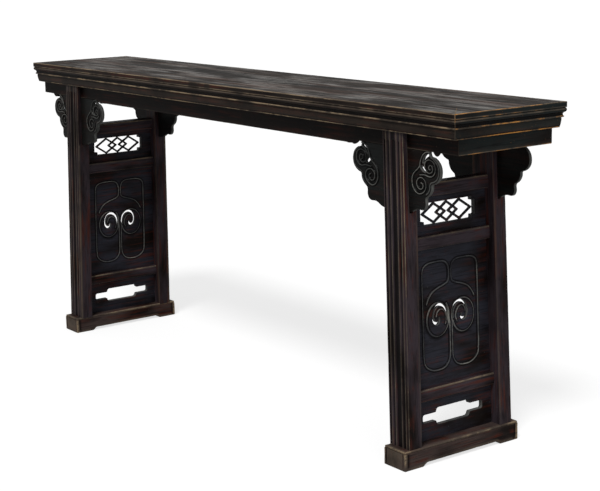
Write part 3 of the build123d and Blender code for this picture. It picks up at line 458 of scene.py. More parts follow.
def carved_board(us, vs, outline, front, back, edge_round):
    """Shape of a board over a grid, kept where outline is negative.

    outline, front and back take an array of (u, v); front and back give the faces' heights.
    """
    grid = np.stack(np.meshgrid(us, vs, indexing="ij"), axis=-1).reshape(-1, 2)
    column = len(vs)
    edge = outline(grid)
    edge[np.abs(edge) < 0.02] = 0.02
    kept = []
    index_of = {}

    def corner(a, b):
        """Index of grid point a, or of the place where the outline cuts the line from a to b."""
        key = (min(a, b), max(a, b))
        if key not in index_of:
            share = 0.0 if a == b else edge[a] / (edge[a] - edge[b])
            index_of[key] = len(kept)
            kept.append(grid[a] + share * (grid[b] - grid[a]))
        return index_of[key]

    cells = []
    inside = (edge < 0).tolist()
    for first in range(len(grid) - column):
        if first % column == column - 1:
            continue
        around = (first, first + column, first + column + 1, first + 1)
        loop = []
        for a, b in zip(around, around[1:] + around[:1]):
            if inside[a]:
                loop.append(corner(a, a))
            if inside[a] != inside[b]:
                loop.append(corner(a, b))
        if loop:
            cells.append(tuple(loop))
    kept = np.array(kept)
    depth = np.clip(-outline(kept), 0, None)
    round_in = np.clip(edge_round - depth, 0, edge_round)
    drop = edge_round - np.sqrt(np.clip(edge_round**2 - round_in**2, 0, None))
    count = len(kept)
    # Edges and walls are painted light as sheen as well as rubbing.
    wear_light = EDGE_SHEEN * np.clip(1.3 - depth / (0.8 * edge_round), 0, 1)
    high = np.column_stack([kept, front(kept) - drop])
    low = np.column_stack([kept, back(kept) + drop])
    faces = cells + [tuple(index + count for index in reversed(cell)) for cell in cells]
    sides = {}
    for cell in cells:
        for a, b in zip(cell, cell[1:] + cell[:1]):
            if (b, a) in sides:
                del sides[(b, a)]
            else:
                sides[(a, b)] = True
    faces += [(b, a, a + count, b + count) for a, b in sides]
    return np.vstack([high, low]), faces, np.concatenate([wear_light, wear_light])


# ---- frame of the top, strips and aprons: sections as inset from the edge and height ----


def long_side(side, station, section):
    """Section of a long member at a station from -1 to 1; side is -1 at the front."""
    inset, height, wear_light = section.T
    x = station * (HALF_LENGTH - inset - SEAM / 2)
    return np.column_stack([x, side * (HALF_DEPTH - inset), height, wear_light])


def end_side(side, station, section):
    """Section of an end member at a station from -1 to 1; side is 1 at the right."""
    inset, height, wear_light = section.T
    y = station * (HALF_DEPTH - inset - SEAM / 2)
    return np.column_stack([side * (HALF_LENGTH - inset), y, height, wear_light])


def rub_mitre(ring):
    """Rubs the arris of a mitred end."""
    ring[:, 3] = np.maximum(ring[:, 3], MITRE_RUB)


def moulded_run(section, place, side, length):
    """A section along a member that is mitred at both ends."""
    near_end = 1 - MITRE_RUB_WIDTH / (length / 2)
    stations = (-1, *spread(-near_end, near_end, RUN_STEP / (length / 2)), 1)
    rings = [place(side, station, section) for station in stations]
    rub_mitre(rings[0])
    rub_mitre(rings[-1])
    return loft(rings)


def frame_section():
    """Edge of the top: plain band, bead, cove and astragal. The upper half of the bead, the arris
    at the foot of the band and the astragal are painted light as highlights as well as wear, and
    the step under the band and the cove are painted dark as shade as well as pooled lacquer.
    """
    top = TABLE_HEIGHT
    band = top - FILLET_BAND
    bead_foot = band - BEAD_HEIGHT
    cove_foot = bead_foot - COVE_HEIGHT
    inner = FRAME_WIDTH - SEAM / 2
    return profile(
        (inner, top - 0.8, -0.2, 2, 0.35),
        (inner - 0.8, top, 0, 1, 0.0),
        (inner - 2.5, top, 0, 10, 0.05),
        (4.2, top, 0, 2, 0.12),
        (1.8, top, -0.55, 5, 1.0),
        (0, top - 1.8, 0, 1, 0.4),
        (0, top - 3.4, 0, 5, 0.0),
        (0, band + 2.6, 0, 1, 0.3),
        (0, band + 1.4, -0.25, 3, 0.7),
        (0.7, band, 0, 2, -0.9),
        (3.2, band - 0.4, -0.4, 3, 0.0),
        (1.1, band - 2.4, -0.5, 4, 0.36),
        (0.3, band - 6.2, -0.7, 4, 0.0),
        (2.9, bead_foot, 2.2, 7, -0.8),
        (6.4, cove_foot + 0.5, 0, 1, -0.5),
        (5.9, cove_foot, -1.5, 6, 0.75),
        (5.9, FRAME_BOTTOM, 0, 1, 0.0),
        (8.0, FRAME_BOTTOM, 0, 3, 0.0),
        (inner, FRAME_BOTTOM, 0, 2, 0.0),
    )


def strip_section(depth):
    """Leaning strip below the frame's edge, with a thin bead at its foot. Its top arris and its
    bead are painted light as highlights as well as wear, and the groove over the bead dark as shade
    as well as pooled lacquer.
    """
    bead_top = STRIP_BOTTOM + STRIP_BEAD
    foot = STRIP_FOOT + 1.5
    return profile(
        (depth, FRAME_BOTTOM, 0, 1, 0.0),
        (STRIP_FACE + 2.0, FRAME_BOTTOM, -0.4, 3, 0.55),
        (STRIP_FACE + 0.5, FRAME_BOTTOM - 1.2, 0, 1, 0.1),
        (STRIP_FACE, FRAME_BOTTOM - 3.0, -0.5, 7, 0.1),
        (STRIP_FOOT, bead_top, 0, 2, -0.7),
        (foot, bead_top - 0.3, -1.5, 6, 0.8),
        (foot, STRIP_BOTTOM, 0, 1, 0.0),
        (foot + 2.0, STRIP_BOTTOM, 0, 1, 0.0),
        (depth, STRIP_BOTTOM, 0, 2, 0.0),
    )


def apron_section(inset, bottom):
    """Plain apron board with softened lower arrises."""
    back = inset + APRON_THICKNESS
    return profile(
        (inset, FRAME_BOTTOM, 0, 6, 0.05),
        (inset, bottom + 3.2, 0, 1, 0.1),
        (inset, bottom + 1.6, -0.45, 4, 0.62),
        (inset + 1.6, bottom, 0, 1, 0.1),
        (inset + 3.0, bottom, 0, 2, 0.05),
        (back - 1.0, bottom, -0.2, 2, 0.3),
        (back, bottom + 1.0, 0, 3, 0.0),
        (back, FRAME_BOTTOM, 0, 2, 0.0),
    )


def apron_edge(x):
    """Lower edge of a long apron: deeper between the legs, with a lobe beside each spandrel."""
    reach = abs(x) - SPANDREL_X
    between_legs = reach < 0
    reach = abs(reach)
    end_show = APRON_RUN_SHOW if between_legs else APRON_SHOW
    along = (reach - CUSP_START) / (CUSP_END - CUSP_START)
    if along <= 0:
        show = APRON_SHOW
    elif along < 1:
        hang = CUSP_DROP - (APRON_SHOW + end_show) / 2
        show = APRON_SHOW + (end_show - APRON_SHOW) * along + 4 * hang * along * (1 - along)
    elif between_legs and reach < RIPPLE_END:
        along = (reach - CUSP_END) / (RIPPLE_END - CUSP_END)
        show = APRON_RUN_SHOW + RIPPLE_SWELL * math.sin(along * math.pi)
    else:
        show = end_show
    return STRIP_BOTTOM - show


def long_apron(side):
    """Front or back apron with its cusps."""
    near_end = END_APRON_FACE - MITRE_RUB_WIDTH
    stations = set(np.round(spread(-END_APRON_FACE, END_APRON_FACE, APRON_STEP), 3))
    for reach in spread(CUSP_START - 1.0, RIPPLE_END + 1.0, CUSP_STEP):
        for x in (SPANDREL_X - reach, SPANDREL_X + reach):
            stations |= {round(x, 3), round(-x, 3)}
    stations = [x for x in stations if abs(x) < near_end]
    stations = sorted([*stations, -END_APRON_FACE, -near_end, near_end, END_APRON_FACE])
    rings = []
    for x in stations:
        section = apron_section(APRON_INSET, apron_edge(x))
        ring = long_side(side, 0, section)
        over = END_APRON_FACE - (section[:, 0] - APRON_INSET) - SEAM / 2
        ring[:, 0] = x / (END_APRON_FACE + SEAM / 2) * over
        rings.append(ring)
    rub_mitre(rings[0])
    rub_mitre(rings[-1])
    return loft(rings)


def end_apron(side):
    """Right or left apron, mitred to the long ones."""
    section = apron_section(END_APRON_INSET, STRIP_BOTTOM - APRON_SHOW)
    half = APRON_FACE - (section[:, 0] - END_APRON_INSET) - SEAM / 2
    rings = []
    for station in spread(-1, 1, SHORT_RUN_STEP):
        ring = end_side(side, 0, section)
        ring[:, 1] = station * half
        rings.append(ring)
    return loft(rings)


def top_board():
    """Floating board of the top, level with its frame."""
    half_length = HALF_LENGTH - FRAME_WIDTH - SEAM / 2
    y = HALF_DEPTH - FRAME_WIDTH - SEAM / 2
    under = TABLE_HEIGHT - TOP_BOARD_THICKNESS
    section = profile(
        (-y, TABLE_HEIGHT - 0.9, 0.2, 2, 0.4),
        (-y + 0.9, TABLE_HEIGHT, 0, 26, 0.0),
        (y - 0.9, TABLE_HEIGHT, 0.2, 2, 0.4),
        (y, TABLE_HEIGHT - 0.9, 0, 1, 0.0),
        (y, under, 0, 6, 0.0),
        (-y, under, 0, 1, 0.0),
    )
    stations = spread(-half_length, half_length, RUN_STEP)
    return loft([np.column_stack([np.full(len(section), x), section]) for x in stations])


# ---- legs ----


def leg_x(height):
    """Middle of a right leg along the table."""
    return LEG_HEAD_X + (STRIP_BOTTOM - height) * math.tan(LEG_SPLAY)


def leg_face_y(height):
    """Outer face of a leg, from the table's middle line."""
    return APRON_FACE + FRONT_CHEEK + (STRIP_BOTTOM - height) * math.tan(LEG_SIDE_SPLAY)


def reeded_face(depth):
    """Face of a leg across its width, as (across, inward), with grooves depth deep."""
    half = LEG_WIDTH / 2
    near, far = OUTER_REED
    inner_near, inner_far = INNER_REED

    def reed(start, end):
        crown = curve((start, depth), (end, depth), -depth, 11)
        sunk = crown[:, 1] / max(depth, 0.1)
        # Crests are painted light as a highlight as well as polish, and the bottoms of the grooves
        # dark as shade as well as pooled lacquer.
        crest_sheen = REED_SHEEN * np.clip(1.3 - 11 * sunk, 0, 1)
        crown[:, 2] = crest_sheen - 0.8 * np.clip(2 * sunk - 1, 0, 1)
        return crown

    # The groove edges beside the reeds and the middle hollow are painted dark as shade as well as
    # pooled lacquer.
    left = profile(
        (-half, 0.7, -0.2, 2, 0.4),
        (-half + 0.7, 0, 0, 2, 0.12),
        (-far, 0, 0, 2, -0.5),
        (-far + 0.3, depth),
    )
    middle = curve((-inner_near, depth), (inner_near, depth), 0.3 * depth, 6, -0.7)
    right = profile(
        (far - 0.3, depth, 0, 2, -0.5),
        (far, 0, 0, 2, 0.12),
        (half - 0.7, 0, -0.2, 2, 0.7),
        (half, 0.7),
    )
    left_reeds = [reed(-far + 0.3, -near), reed(-inner_far, -inner_near)]
    right_reeds = [reed(inner_near, inner_far), reed(near, far - 0.3)]
    return np.vstack([left, *left_reeds, middle, *right_reeds, right])


def leg_stretch(low, high, reed_depth, back, front=None, step=LEG_STEP):
    """Stretch of the front right leg between two levels, reeded where it has no plain front.

    front and back are the distances of its faces from the leg's own face, as functions of height.
    """
    half = LEG_WIDTH / 2
    rings = []
    for height in spread(low, high, step):
        far = back(height)
        if front is None:
            fade = np.clip((REED_TOP - height) / REED_FADE, 0, 1)
            start, face = 0.7, reeded_face(max(reed_depth * fade, 0.05))
        else:
            start = front(height)
            face = curve((-half, start), (half, start), 0, 6, 0.0)
        rest = profile(
            (half, start, 0, 5, 0.05),
            (half, far - 1.0, 0.25, 3, 0.2),
            (half - 1.0, far, 0, 5, 0.05),
            (-half + 1.0, far, 0.25, 3, 0.2),
            (-half, far - 1.0, 0, 5, 0.05),
            (-half, start),
        )
        x, y, wear_light = np.vstack([face, rest]).T
        place = [leg_x(height) + x, y - leg_face_y(height), np.full(len(x), height), wear_light]
        rings.append(np.column_stack(place))
    points, faces, _ = loft(rings)
    return points, faces, np.tile(wear_light, len(rings))  # wear and painted light all the way like its upper end


def reeded_leg(reed_depth):
    """Front right leg: its body, and above it two cheeks that clasp the spandrel."""

    def board_front(height):
        return leg_face_y(height) - APRON_FACE

    def board_back(height):
        return board_front(height) + APRON_THICKNESS

    def full_depth(height):
        return LEG_DEPTH

    levels = (SLOT_BOTTOM, REED_TOP - REED_FADE, REED_TOP, STRIP_BOTTOM)
    stretches = [leg_stretch(FOOT_HEIGHT - CAP_HEIGHT / 2, SLOT_BOTTOM, reed_depth, full_depth)]
    for low, high, step in zip(levels, levels[1:], (LEG_STEP, 1.0, 6.0)):
        stretches.append(leg_stretch(low, high, reed_depth, board_front, step=step))
    stretches.append(leg_stretch(SLOT_BOTTOM, FRAME_BOTTOM, reed_depth, full_depth, board_back))
    return join(stretches)


# ---- end frames: rails and panels lean with the legs ----


def end_frame_place(across, up, out):
    """Places points of the right end frame: across the table, up the slope, and outward."""
    x = FOOT_X - math.sin(LEG_SPLAY) * up + math.cos(LEG_SPLAY) * out
    return np.column_stack([x, across, math.cos(LEG_SPLAY) * up + math.sin(LEG_SPLAY) * out])


def up_slope(height):
    """Distance up the lean of an end frame to a height."""
    return height / math.cos(LEG_SPLAY)


def inner_y(height):
    """Inner face of a leg, where rails and panels end."""
    return leg_face_y(height) - LEG_DEPTH


def rail(level):
    """Rail standing proud of the panels: flat faces, softened and rubbed arrises, the upper arris
    painted lighter than the lower as a highlight as well as wear.
    """
    low, high = (up_slope(height) for height in level)
    face, soft = RAIL_EDGE_HALF, RAIL_ARRIS
    right = profile(
        (0, low, 0, 2, 0.0),
        (face - soft, low, -0.7, 5, 0.2),
        (face, low + soft, 0, 1, 0.05),
        (face + 0.2, low + 2 * soft, 0.2 + face - RAIL_HALF, 9, 0.0),
        (face + 0.2, high - 2 * soft, 0, 1, 0.1),
        (face, high - soft, -0.7, 6, 0.52),
        (face - soft, high, 0, 1, 0.1),
        (face - 2 * soft, high, 0, 2, 0.0),
        (0, high),
    )
    section = np.vstack([right, [(0, high, 0)], right[:0:-1] * (-1, 1, 1)])
    out, up, wear_light = section.T
    end = np.array([inner_y(rise * math.cos(LEG_SPLAY)) for rise in up])
    rings = []
    for station in spread(-1, 1, SHORT_RUN_STEP):
        place = end_frame_place(station * (end + 1.0), up, out)
        rings.append(np.column_stack([place, wear_light]))
    return loft(rings)


def panel_board(level, step, opening, relief, crests=None):
    """Board of an end frame, pierced where opening is negative.

    Both faces have the same relief and are rubbed and painted with highlights along the crests.
    """
    low, high = level
    low_y, high_y = (inner_y(height) + PANEL_HOUSING for height in level)
    bottom, top = up_slope(low) - PANEL_HOUSING, up_slope(high) + PANEL_HOUSING
    corners = np.array([(-low_y, bottom), (low_y, bottom), (high_y, top), (-high_y, top)])
    us = spread(-low_y - step, low_y + step, step)
    vs = spread(bottom - step, top + step, step)

    def outline(grid):
        return np.maximum(within(grid, corners), -opening(grid))

    def back(grid):
        return -relief(grid)

    points, faces, wear_light = carved_board(us, vs, outline, relief, back, edge_round=1.3)
    wear_light = np.where(np.abs(within(points[:, :2], corners)) < 3.0, 0.0, wear_light)
    if crests is not None:
        wear_light = strongest([wear_light, crests(points[:, :2])])
    return end_frame_place(*points.T), faces, wear_light


def lattice_panel():
    """Panel with a notched window of three interlaced diamonds."""
    level = (MIDDLE_RAIL[1], TOP_RAIL[0])
    middle = up_slope(sum(level) / 2) + WINDOW_RISE
    half_width, half_height = WINDOW_HALF

    def window(grid):
        across = np.abs(grid[:, 0])
        up = np.abs(grid[:, 1] - middle)
        wide = rounded_box(across, up, half_width, half_height - NOTCH[1], 2.0)
        tall = rounded_box(across, up, half_width - NOTCH[0], half_height, 2.0)
        return np.minimum(wide, tall)

    def bars(grid):
        away = []
        for centre, reach, rise in DIAMONDS:
            diamond = oval((centre, middle), reach, rise, 4)
            away.append(away_from(grid, diamond, closed=True))
        return np.minimum.reduce(away) - LATTICE_BAR / 2

    def opening(grid):
        return np.maximum(window(grid), -bars(grid))

    def relief(grid):
        into = np.clip(-window(grid) / 1.5, 0, 1)
        ridge = LATTICE_RIDGE * np.clip(1 + bars(grid) / (LATTICE_BAR / 2), 0, 1)
        rim = 0.8 * np.exp(-(((window(grid) - 6.0) / 0.9) ** 2))
        return PANEL_HALF - rim - into * (PANEL_HALF - LATTICE_HALF + ridge)

    return panel_board(level, CARVING_STEP, opening, relief)


def slotted_panel():
    """Plain panel with a stepped slot."""
    level = (FOOT_HEIGHT, LOWER_RAIL[0])
    middle = up_slope(sum(level) / 2) + SLOT_RISE

    def opening(grid):
        across = np.abs(grid[:, 0])
        up = np.abs(grid[:, 1] - middle)
        slim = rounded_box(across, up, SLOT_HALF_LENGTH, SLOT_END_HALF, 6.0)
        wide = rounded_box(across, up, *SLOT_MIDDLE_HALF, 8.0)
        near = np.clip(0.5 + (wide - slim) / (2 * SLOT_BLEND), 0, 1)
        return wide * (1 - near) + slim * near - SLOT_BLEND * near * (1 - near)

    def relief(grid):
        return np.full(len(grid), PANEL_HALF)

    return panel_board(level, 1.6, opening, relief)


# carver's lines of one half of the big panel: out from the middle, and height up the slope
PETAL_LINE = (
    (92.5, 462), (92, 480), (87, 493), (72, 500.5), (48, 502.5), (24, 501.5), (10, 494),
    (4.5, 480), (4, 462), (7, 448), (22, 440.5), (42, 434.5), (60, 426), (73, 412), (80.5, 398),
)
LOBE_LINE = (
    (92.5, 462), (93, 400), (93, 330), (92.5, 262), (86, 240), (66, 227), (42, 224.5),
    (20, 230), (7, 246), (4, 268), (4, 310), (4.5, 345), (5.5, 372), (14, 392),
)
TONGUE_LINE = ((20, 340), (16, 352), (18, 366), (26, 377), (37, 380), (46, 373), (49, 362))
BOSS_CENTRE = (43.0, 354.0)
BOSS_HALF = (36.5, 43.5)
# opening round the tongue of each scroll: out, up the slope, half width
SCROLL_OPENING = (
    (10.0, 350.0, 1.4), (9.0, 362.0, 2.6), (12.5, 375.0, 2.8), (20.5, 385.5, 2.9),
    (31.5, 390.5, 3.2), (42.5, 389.0, 2.9), (51.5, 381.0, 2.6), (56.0, 369.0, 2.5),
    (56.0, 356.0, 2.8), (51.0, 346.5, 3.2), (43.5, 343.5, 3.4), (38.0, 348.5, 2.8),
    (37.0, 357.0, 1.6),
)


def carved_panel(sizes):
    """Big panel: a pair of tall petals over a pair of pierced scrolls in long lobes."""
    width = sizes.bead_width / MM
    height = 0.8 * sizes.carving / MM
    ground = sizes.ground / MM
    petal = smooth_line(PETAL_LINE)
    lobe = smooth_line(LOBE_LINE)
    tongue = smooth_line(TONGUE_LINE)
    scroll = smooth_line(SCROLL_OPENING, 5)
    ring = oval(BOSS_CENTRE, *BOSS_HALF)
    sunk_petal = np.vstack([petal[:-8], [(84, 400), (92.5, 420)]])
    sunk_lobe = np.vstack([lobe, [(30, 408), (60, 404), (80, 396), (90, 400)]])

    def opening(grid):
        return away_from_taper(half_of(grid), scroll)

    def lines(at):
        """Distance from each carved bead, and its share of the full width."""
        full = [away_from(at, petal), away_from(at, lobe), np.abs(within(at, ring))]
        return [(away, 1.0) for away in full] + [(away_from(at, tongue), 0.8)]

    def relief(grid):
        at = half_of(grid)
        in_petal = np.clip(-within(at, sunk_petal) / PETAL_SLOPE, 0, 1)
        in_lobe = np.clip(-within(at, sunk_lobe) / LOBE_SLOPE, 0, 1)
        ring_away = within(at, ring)
        in_ring = np.clip(-ring_away / BOSS_SLOPE, 0, 1)
        under_ring = np.exp(-(((at[:, 1] - BOSS_CENTRE[1] + BOSS_HALF[1] + 6) / 7.0) ** 2))
        under_ring *= np.clip(ring_away / 2.0, 0, 1) * np.clip(1.2 - ring_away / 16.0, 0, 1)
        face = PANEL_HALF - ground * np.sin(in_petal * math.pi / 2)
        face -= ground * np.sin(in_lobe * math.pi / 2) * (1 - in_ring)
        face -= 1.4 * ground * under_ring * in_lobe
        face += 0.6 * ground * in_ring
        face -= DISH_DEPTH * np.clip(1.2 - opening(grid) / DISH_SLOPE, 0, 1)
        beads = [bead(away, share * width, share * height) for away, share in lines(at)]
        return face + np.maximum.reduce(beads) + np.minimum.reduce(beads + [0 * face])

    def crests(grid):
        at = half_of(grid)
        ring_away = within(at, ring)
        shade = np.clip(1.3 - ring_away / 9.0, 0, 1) * np.clip(ring_away / 3.0, 0, 1)
        shade *= np.clip((BOSS_CENTRE[1] - at[:, 1]) / 20.0, 0, 1)
        carved = [crest_line(away, share * width) for away, share in lines(at)]
        return strongest(carved + [-0.7 * shade])

    return panel_board((LOWER_RAIL[1], MIDDLE_RAIL[0]), 1.5, opening, relief, crests)


# ---- cloud spandrels ----

# lines of the right half: out from the board's middle, and drop below the strip
WING_LINE = (
    (127.0, 38.5), (127.5, 44.0), (130.5, 49.8), (142.5, 52.5), (154.0, 60.0), (161.5, 70.5),
    (164.0, 84.0), (161.5, 97.0), (153.5, 107.6), (143.0, 114.0), (134.0, 117.0),
    (132.0, 121.0), (131.5, 127.5), (127.0, 137.5), (119.5, 145.0), (111.5, 150.5),
    (109.5, 157.0), (110.0, 168.0), (105.5, 178.0), (96.0, 182.6), (82.0, 182.0),
    (71.0, 184.5), (61.0, 190.0), (50.0, 193.6), (36.0, 196.0),
)
UPPER_SCROLL = (
    (92.0, 97.0), (103.0, 95.5), (114.0, 95.5), (126.0, 98.0), (137.0, 95.5), (145.0, 88.0),
    (147.5, 77.5), (144.5, 67.0), (137.0, 60.0), (126.5, 58.0), (116.5, 61.0), (110.5, 69.0),
    (110.0, 79.0), (115.0, 87.0), (123.0, 90.0), (131.5, 88.0), (136.5, 81.5), (135.0, 74.0),
    (129.0, 70.5), (123.5, 74.0), (123.5, 80.0), (128.0, 81.5),
)
LOWER_SCROLL = (
    (129.0, 40.0), (119.0, 40.0), (109.0, 45.0), (101.0, 53.5), (96.0, 64.0), (93.0, 74.0),
    (87.5, 81.5), (79.0, 88.0), (70.5, 95.5), (65.0, 105.0), (64.0, 116.0), (66.5, 127.5),
    (73.5, 137.0), (84.0, 142.5), (95.5, 141.5), (105.5, 136.0), (112.0, 127.0),
    (113.0, 116.5), (107.5, 108.0), (98.0, 103.5), (87.5, 105.0), (80.0, 111.5),
    (78.5, 121.0), (84.0, 129.5), (93.0, 131.5), (100.0, 127.0), (100.5, 119.0), (94.0, 115.5),
)
RIM_LINE = (
    (131.5, 52.5), (143.0, 57.5), (153.0, 65.5), (158.5, 77.0), (158.0, 90.0), (152.5, 101.5),
    (142.5, 108.5), (131.0, 112.5), (126.5, 118.0), (125.5, 127.0), (120.0, 136.5),
    (112.0, 142.5),
)
# openings of a wing: out, drop, half width
WING_OPENINGS = (
    ((122.0, 47.5, 2.6), (114.5, 50.5, 3.4), (108.0, 57.0, 3.2), (104.0, 65.5, 2.0)),
    ((97.0, 78.5, 3.6), (103.0, 82.5, 4.6), (109.5, 86.5, 3.0)),
)
# round hollows between the scrolls: out, drop, radius
WING_HOLLOWS = ((128.0, 78.0, 22.0), (90.0, 119.0, 25.0))


def spandrel(sizes, pierced):
    """Spandrel of the front right leg: a long board with a scrolled cloud wing on both sides.

    The front spandrels are pierced between the scrolls, and the back ones are left solid.
    """
    board = np.vstack([smooth_line(WING_LINE, 5), [(0, WING_BOTTOM), (0, WING_TOP)]])
    upper = smooth_line(UPPER_SCROLL, 6)
    lower = smooth_line(LOWER_SCROLL, 6)
    rim = smooth_line(RIM_LINE, 5)
    openings = [smooth_line(line, 4) for line in WING_OPENINGS]
    width = sizes.bead_width / MM
    height = sizes.carving / MM
    ground = sizes.ground / MM

    def scrolls(at):
        return np.minimum(away_from(at, upper), away_from(at, lower))

    def into_hollows(at):
        """How far each point lies into each round hollow, as a share of its radius."""
        return [1 - np.hypot(*(at - hollow[:2]).T) / hollow[2] for hollow in WING_HOLLOWS]

    def outline(grid):
        at = half_of(grid)
        middle = np.maximum(at[:, 1] - WING_BOTTOM, WING_TOP - at[:, 1])
        edge = np.where(at[:, 0] < SLOT_HALF, middle, within(at, board))
        if pierced:
            for line in openings:
                edge = np.maximum(edge, -away_from_taper(at, line))
        return edge

    def relief(grid):
        at = half_of(grid)
        hollow = np.clip(np.maximum.reduce(into_hollows(at)) / 0.3, 0, 1)
        ridges = bead(scrolls(at), width, height)
        rims = bead(away_from(at, rim), 0.7 * width, 0.4 * height)
        return np.maximum(ridges, rims) + np.minimum(ridges, 0) - ground * hollow - 0.4

    def plain(grid):
        return np.full(len(grid), -APRON_THICKNESS)

    us = spread(-WING_REACH - WING_MARGIN, WING_REACH + WING_MARGIN, CARVING_STEP)
    vs = spread(WING_TOP - WING_MARGIN, WING_BOTTOM + WING_MARGIN, CARVING_STEP)
    points, faces, wear_light = carved_board(us, vs, outline, relief, plain, edge_round=2.2)
    out, drop, lift = points.T
    at = half_of(points)
    hidden = (drop < WING_TOP + 3.0) | ((at[:, 0] < IN_LEG[0]) & (drop > IN_LEG[1]))
    dark = [-0.8 * np.clip(0.15 + share, 0, 1) for share in into_hollows(at)]
    rims = 0.55 * crest_line(away_from(at, rim), width)
    carved = strongest([crest_line(scrolls(at), 0.8 * width), rims, *dark])
    wear_light = strongest([np.where(hidden, 0, wear_light), np.where(lift > -APRON_THICKNESS / 2, carved, 0)])
    x = SPANDREL_X + out + (drop - LEAN_LEVEL) * SPANDREL_LEAN
    return np.column_stack([x, -APRON_FACE - lift, STRIP_BOTTOM - drop]), faces, wear_light


# ---- feet ----


def foot_quarter():
    """Quarter of a foot's plan, from the middle of its long side round the beaded corner."""
    side, end = FOOT_HALF_WIDTH, FOOT_HALF_LENGTH
    start, inner = end - CORNER_BEAD, side - CORNER_BEAD
    return profile(
        (side, 0, 0, 12, 0.0),
        (side, RELIEF_ENDS[0], 0, 10, 0.0),
        (side, RELIEF_ENDS[1], 0, 5, 0.0),
        # The grooves beside each corner bead are painted dark as shade and the bead light as a
        # highlight, as well as pooled lacquer and polish.
        (side, start - 1, 0, 1, -0.7),
        (side - CORNER_GROOVE, start, 0, 1, -0.7),
        (side, start + 1.2, 0, 2, 0.5),
        (side, end - CORNER_ROUND, -1.45, 7, 0.9),
        (side - CORNER_ROUND, end, 0, 2, 0.5),
        (inner + 1.2, end, 0, 1, -0.7),
        (inner, end - CORNER_GROOVE, 0, 1, -0.7),
        (inner - 1, end, 0, 4, 0.3),
        (0, end, 0, 1, 0.3),
    )


def relief_line(along):
    """Underside of a foot: it stands on both ends and is hollowed in an ogee between them."""
    share = np.clip((RELIEF_ENDS[1] - np.abs(along)) / (RELIEF_ENDS[1] - RELIEF_ENDS[0]), 0, 1)
    return RELIEF_HEIGHT * (0.5 - 0.5 * np.cos(share * math.pi))


def shoe_foot():
    """Right foot, a long block with a beaded cap, beaded corners and a hollowed underside."""
    quarter = foot_quarter()
    right = np.vstack([quarter[:0:-1] * (1, -1, 1), quarter])
    plan = np.vstack([right, right[-2:0:-1] * (-1, 1, 1)])
    out, along, wear_light = plan.T
    body_top = FOOT_HEIGHT - CAP_HEIGHT
    low = relief_line(along)
    rings = []

    def ring(inset, height, wear):
        x = FOOT_X + out * (1 - inset / FOOT_HALF_WIDTH)
        y = along * (1 - inset / FOOT_HALF_LENGTH)
        rings.append(np.column_stack([x, y, height + 0 * x, wear + 0 * x]))

    ring(1.0, low, 0.5)
    ring(0.0, low + SOLE_ARRIS, np.maximum(wear_light, 0.45))
    for share in (0.25, 0.5, 0.75, 0.97):
        ring(0.0, (low + SOLE_ARRIS) * (1 - share) + body_top * share, wear_light)
    ring(0.0, body_top, np.maximum(wear_light, 0.3))
    # Painted shade under the cap bead and a painted highlight along it, as well as pooled lacquer
    # and polish.
    ring(CAP_STEP, body_top + 0.3, -0.8)
    for angle in np.linspace(0.15, 1.0, 7) * math.pi:
        inset = CAP_STEP + 0.8 - CAP_SWELL * math.sin(angle)
        ring(inset, body_top + 0.4 + CAP_ROUND * (1 - math.cos(angle)) / 2, 0.62)
    ring(CAP_STEP + 2.5, FOOT_HEIGHT, 0.3)
    ring(CAP_STEP + 12, FOOT_HEIGHT, 0.0)
    points, faces, wear_light = loft(rings)
    faces = [face for face in faces if len(face) == 4]
    count = len(plan)
    for first, turned in ((0, True), (len(points) - count, False)):
        for index in range(len(right) - 1):
            loop = [index, index + 1, (count - index - 1) % count, (count - index) % count]
            loop = [first + item for item in dict.fromkeys(loop)]
            faces.append(tuple(loop if turned else reversed(loop)))
    return points, faces, wear_light


# ---- finishes ----


def add_node(tree, kind, inputs=None, output=0, **settings):
    """Adds a node, sets its options, sets or links its inputs, and gives one of its outputs."""
    node = tree.nodes.new(kind)
    for key, value in settings.items():
        setattr(node, key, value)
    for key, value in (inputs or {}).items():
        if isinstance(value, bpy.types.NodeSocket):
            tree.links.new(value, node.inputs[key])
        else:
            node.inputs[key].default_value = value
    return node.outputs[output]


def opaque(colour):
    """Colour with full alpha."""
    return (*colour, 1.0)


def grain_pattern(tree, axis, across_mm, along_mm, seed, detail, roughness=0.5):
    """Noise drawn out along the grain, with one line every across_mm."""
    scale = [1 / ((along_mm if way == axis else across_mm) * MM) for way in "XYZ"]
    place = add_node(tree, "ShaderNodeTexCoord", output="Object")
    shifted = {"Vector": place, "Location": (seed, seed * 2, seed * 3), "Scale": scale}
    inputs = {"Scale": 1.0, "Detail": detail, "Roughness": roughness}
    inputs["Vector"] = add_node(tree, "ShaderNodeMapping", shifted)
    return add_node(tree, "ShaderNodeTexNoise", inputs, "Fac")


def masked(tree, masks, cover=None):
    """Product of masks, each a value spread from 0 to 1 between two limits."""
    for value, low, high in masks:
        limits = {"Value": value, "From Min": low, "From Max": high}
        met = add_node(tree, "ShaderNodeMapRange", limits)
        if cover is not None:
            met = add_node(tree, "ShaderNodeMath", {0: cover, 1: met}, operation="MULTIPLY")
        cover = met
    return cover


def layer(tree, under, over, masks=(), share=1.0, cover=None):
    """Lays a colour over another where all masks are met, at most by a share."""
    cover = masked(tree, masks, cover)
    if share < 1:
        cover = add_node(tree, "ShaderNodeMath", {0: cover, 1: share}, operation="MULTIPLY")
    return add_node(tree, "ShaderNodeMix", {0: cover, 6: under, 7: over}, 2, data_type="RGBA")


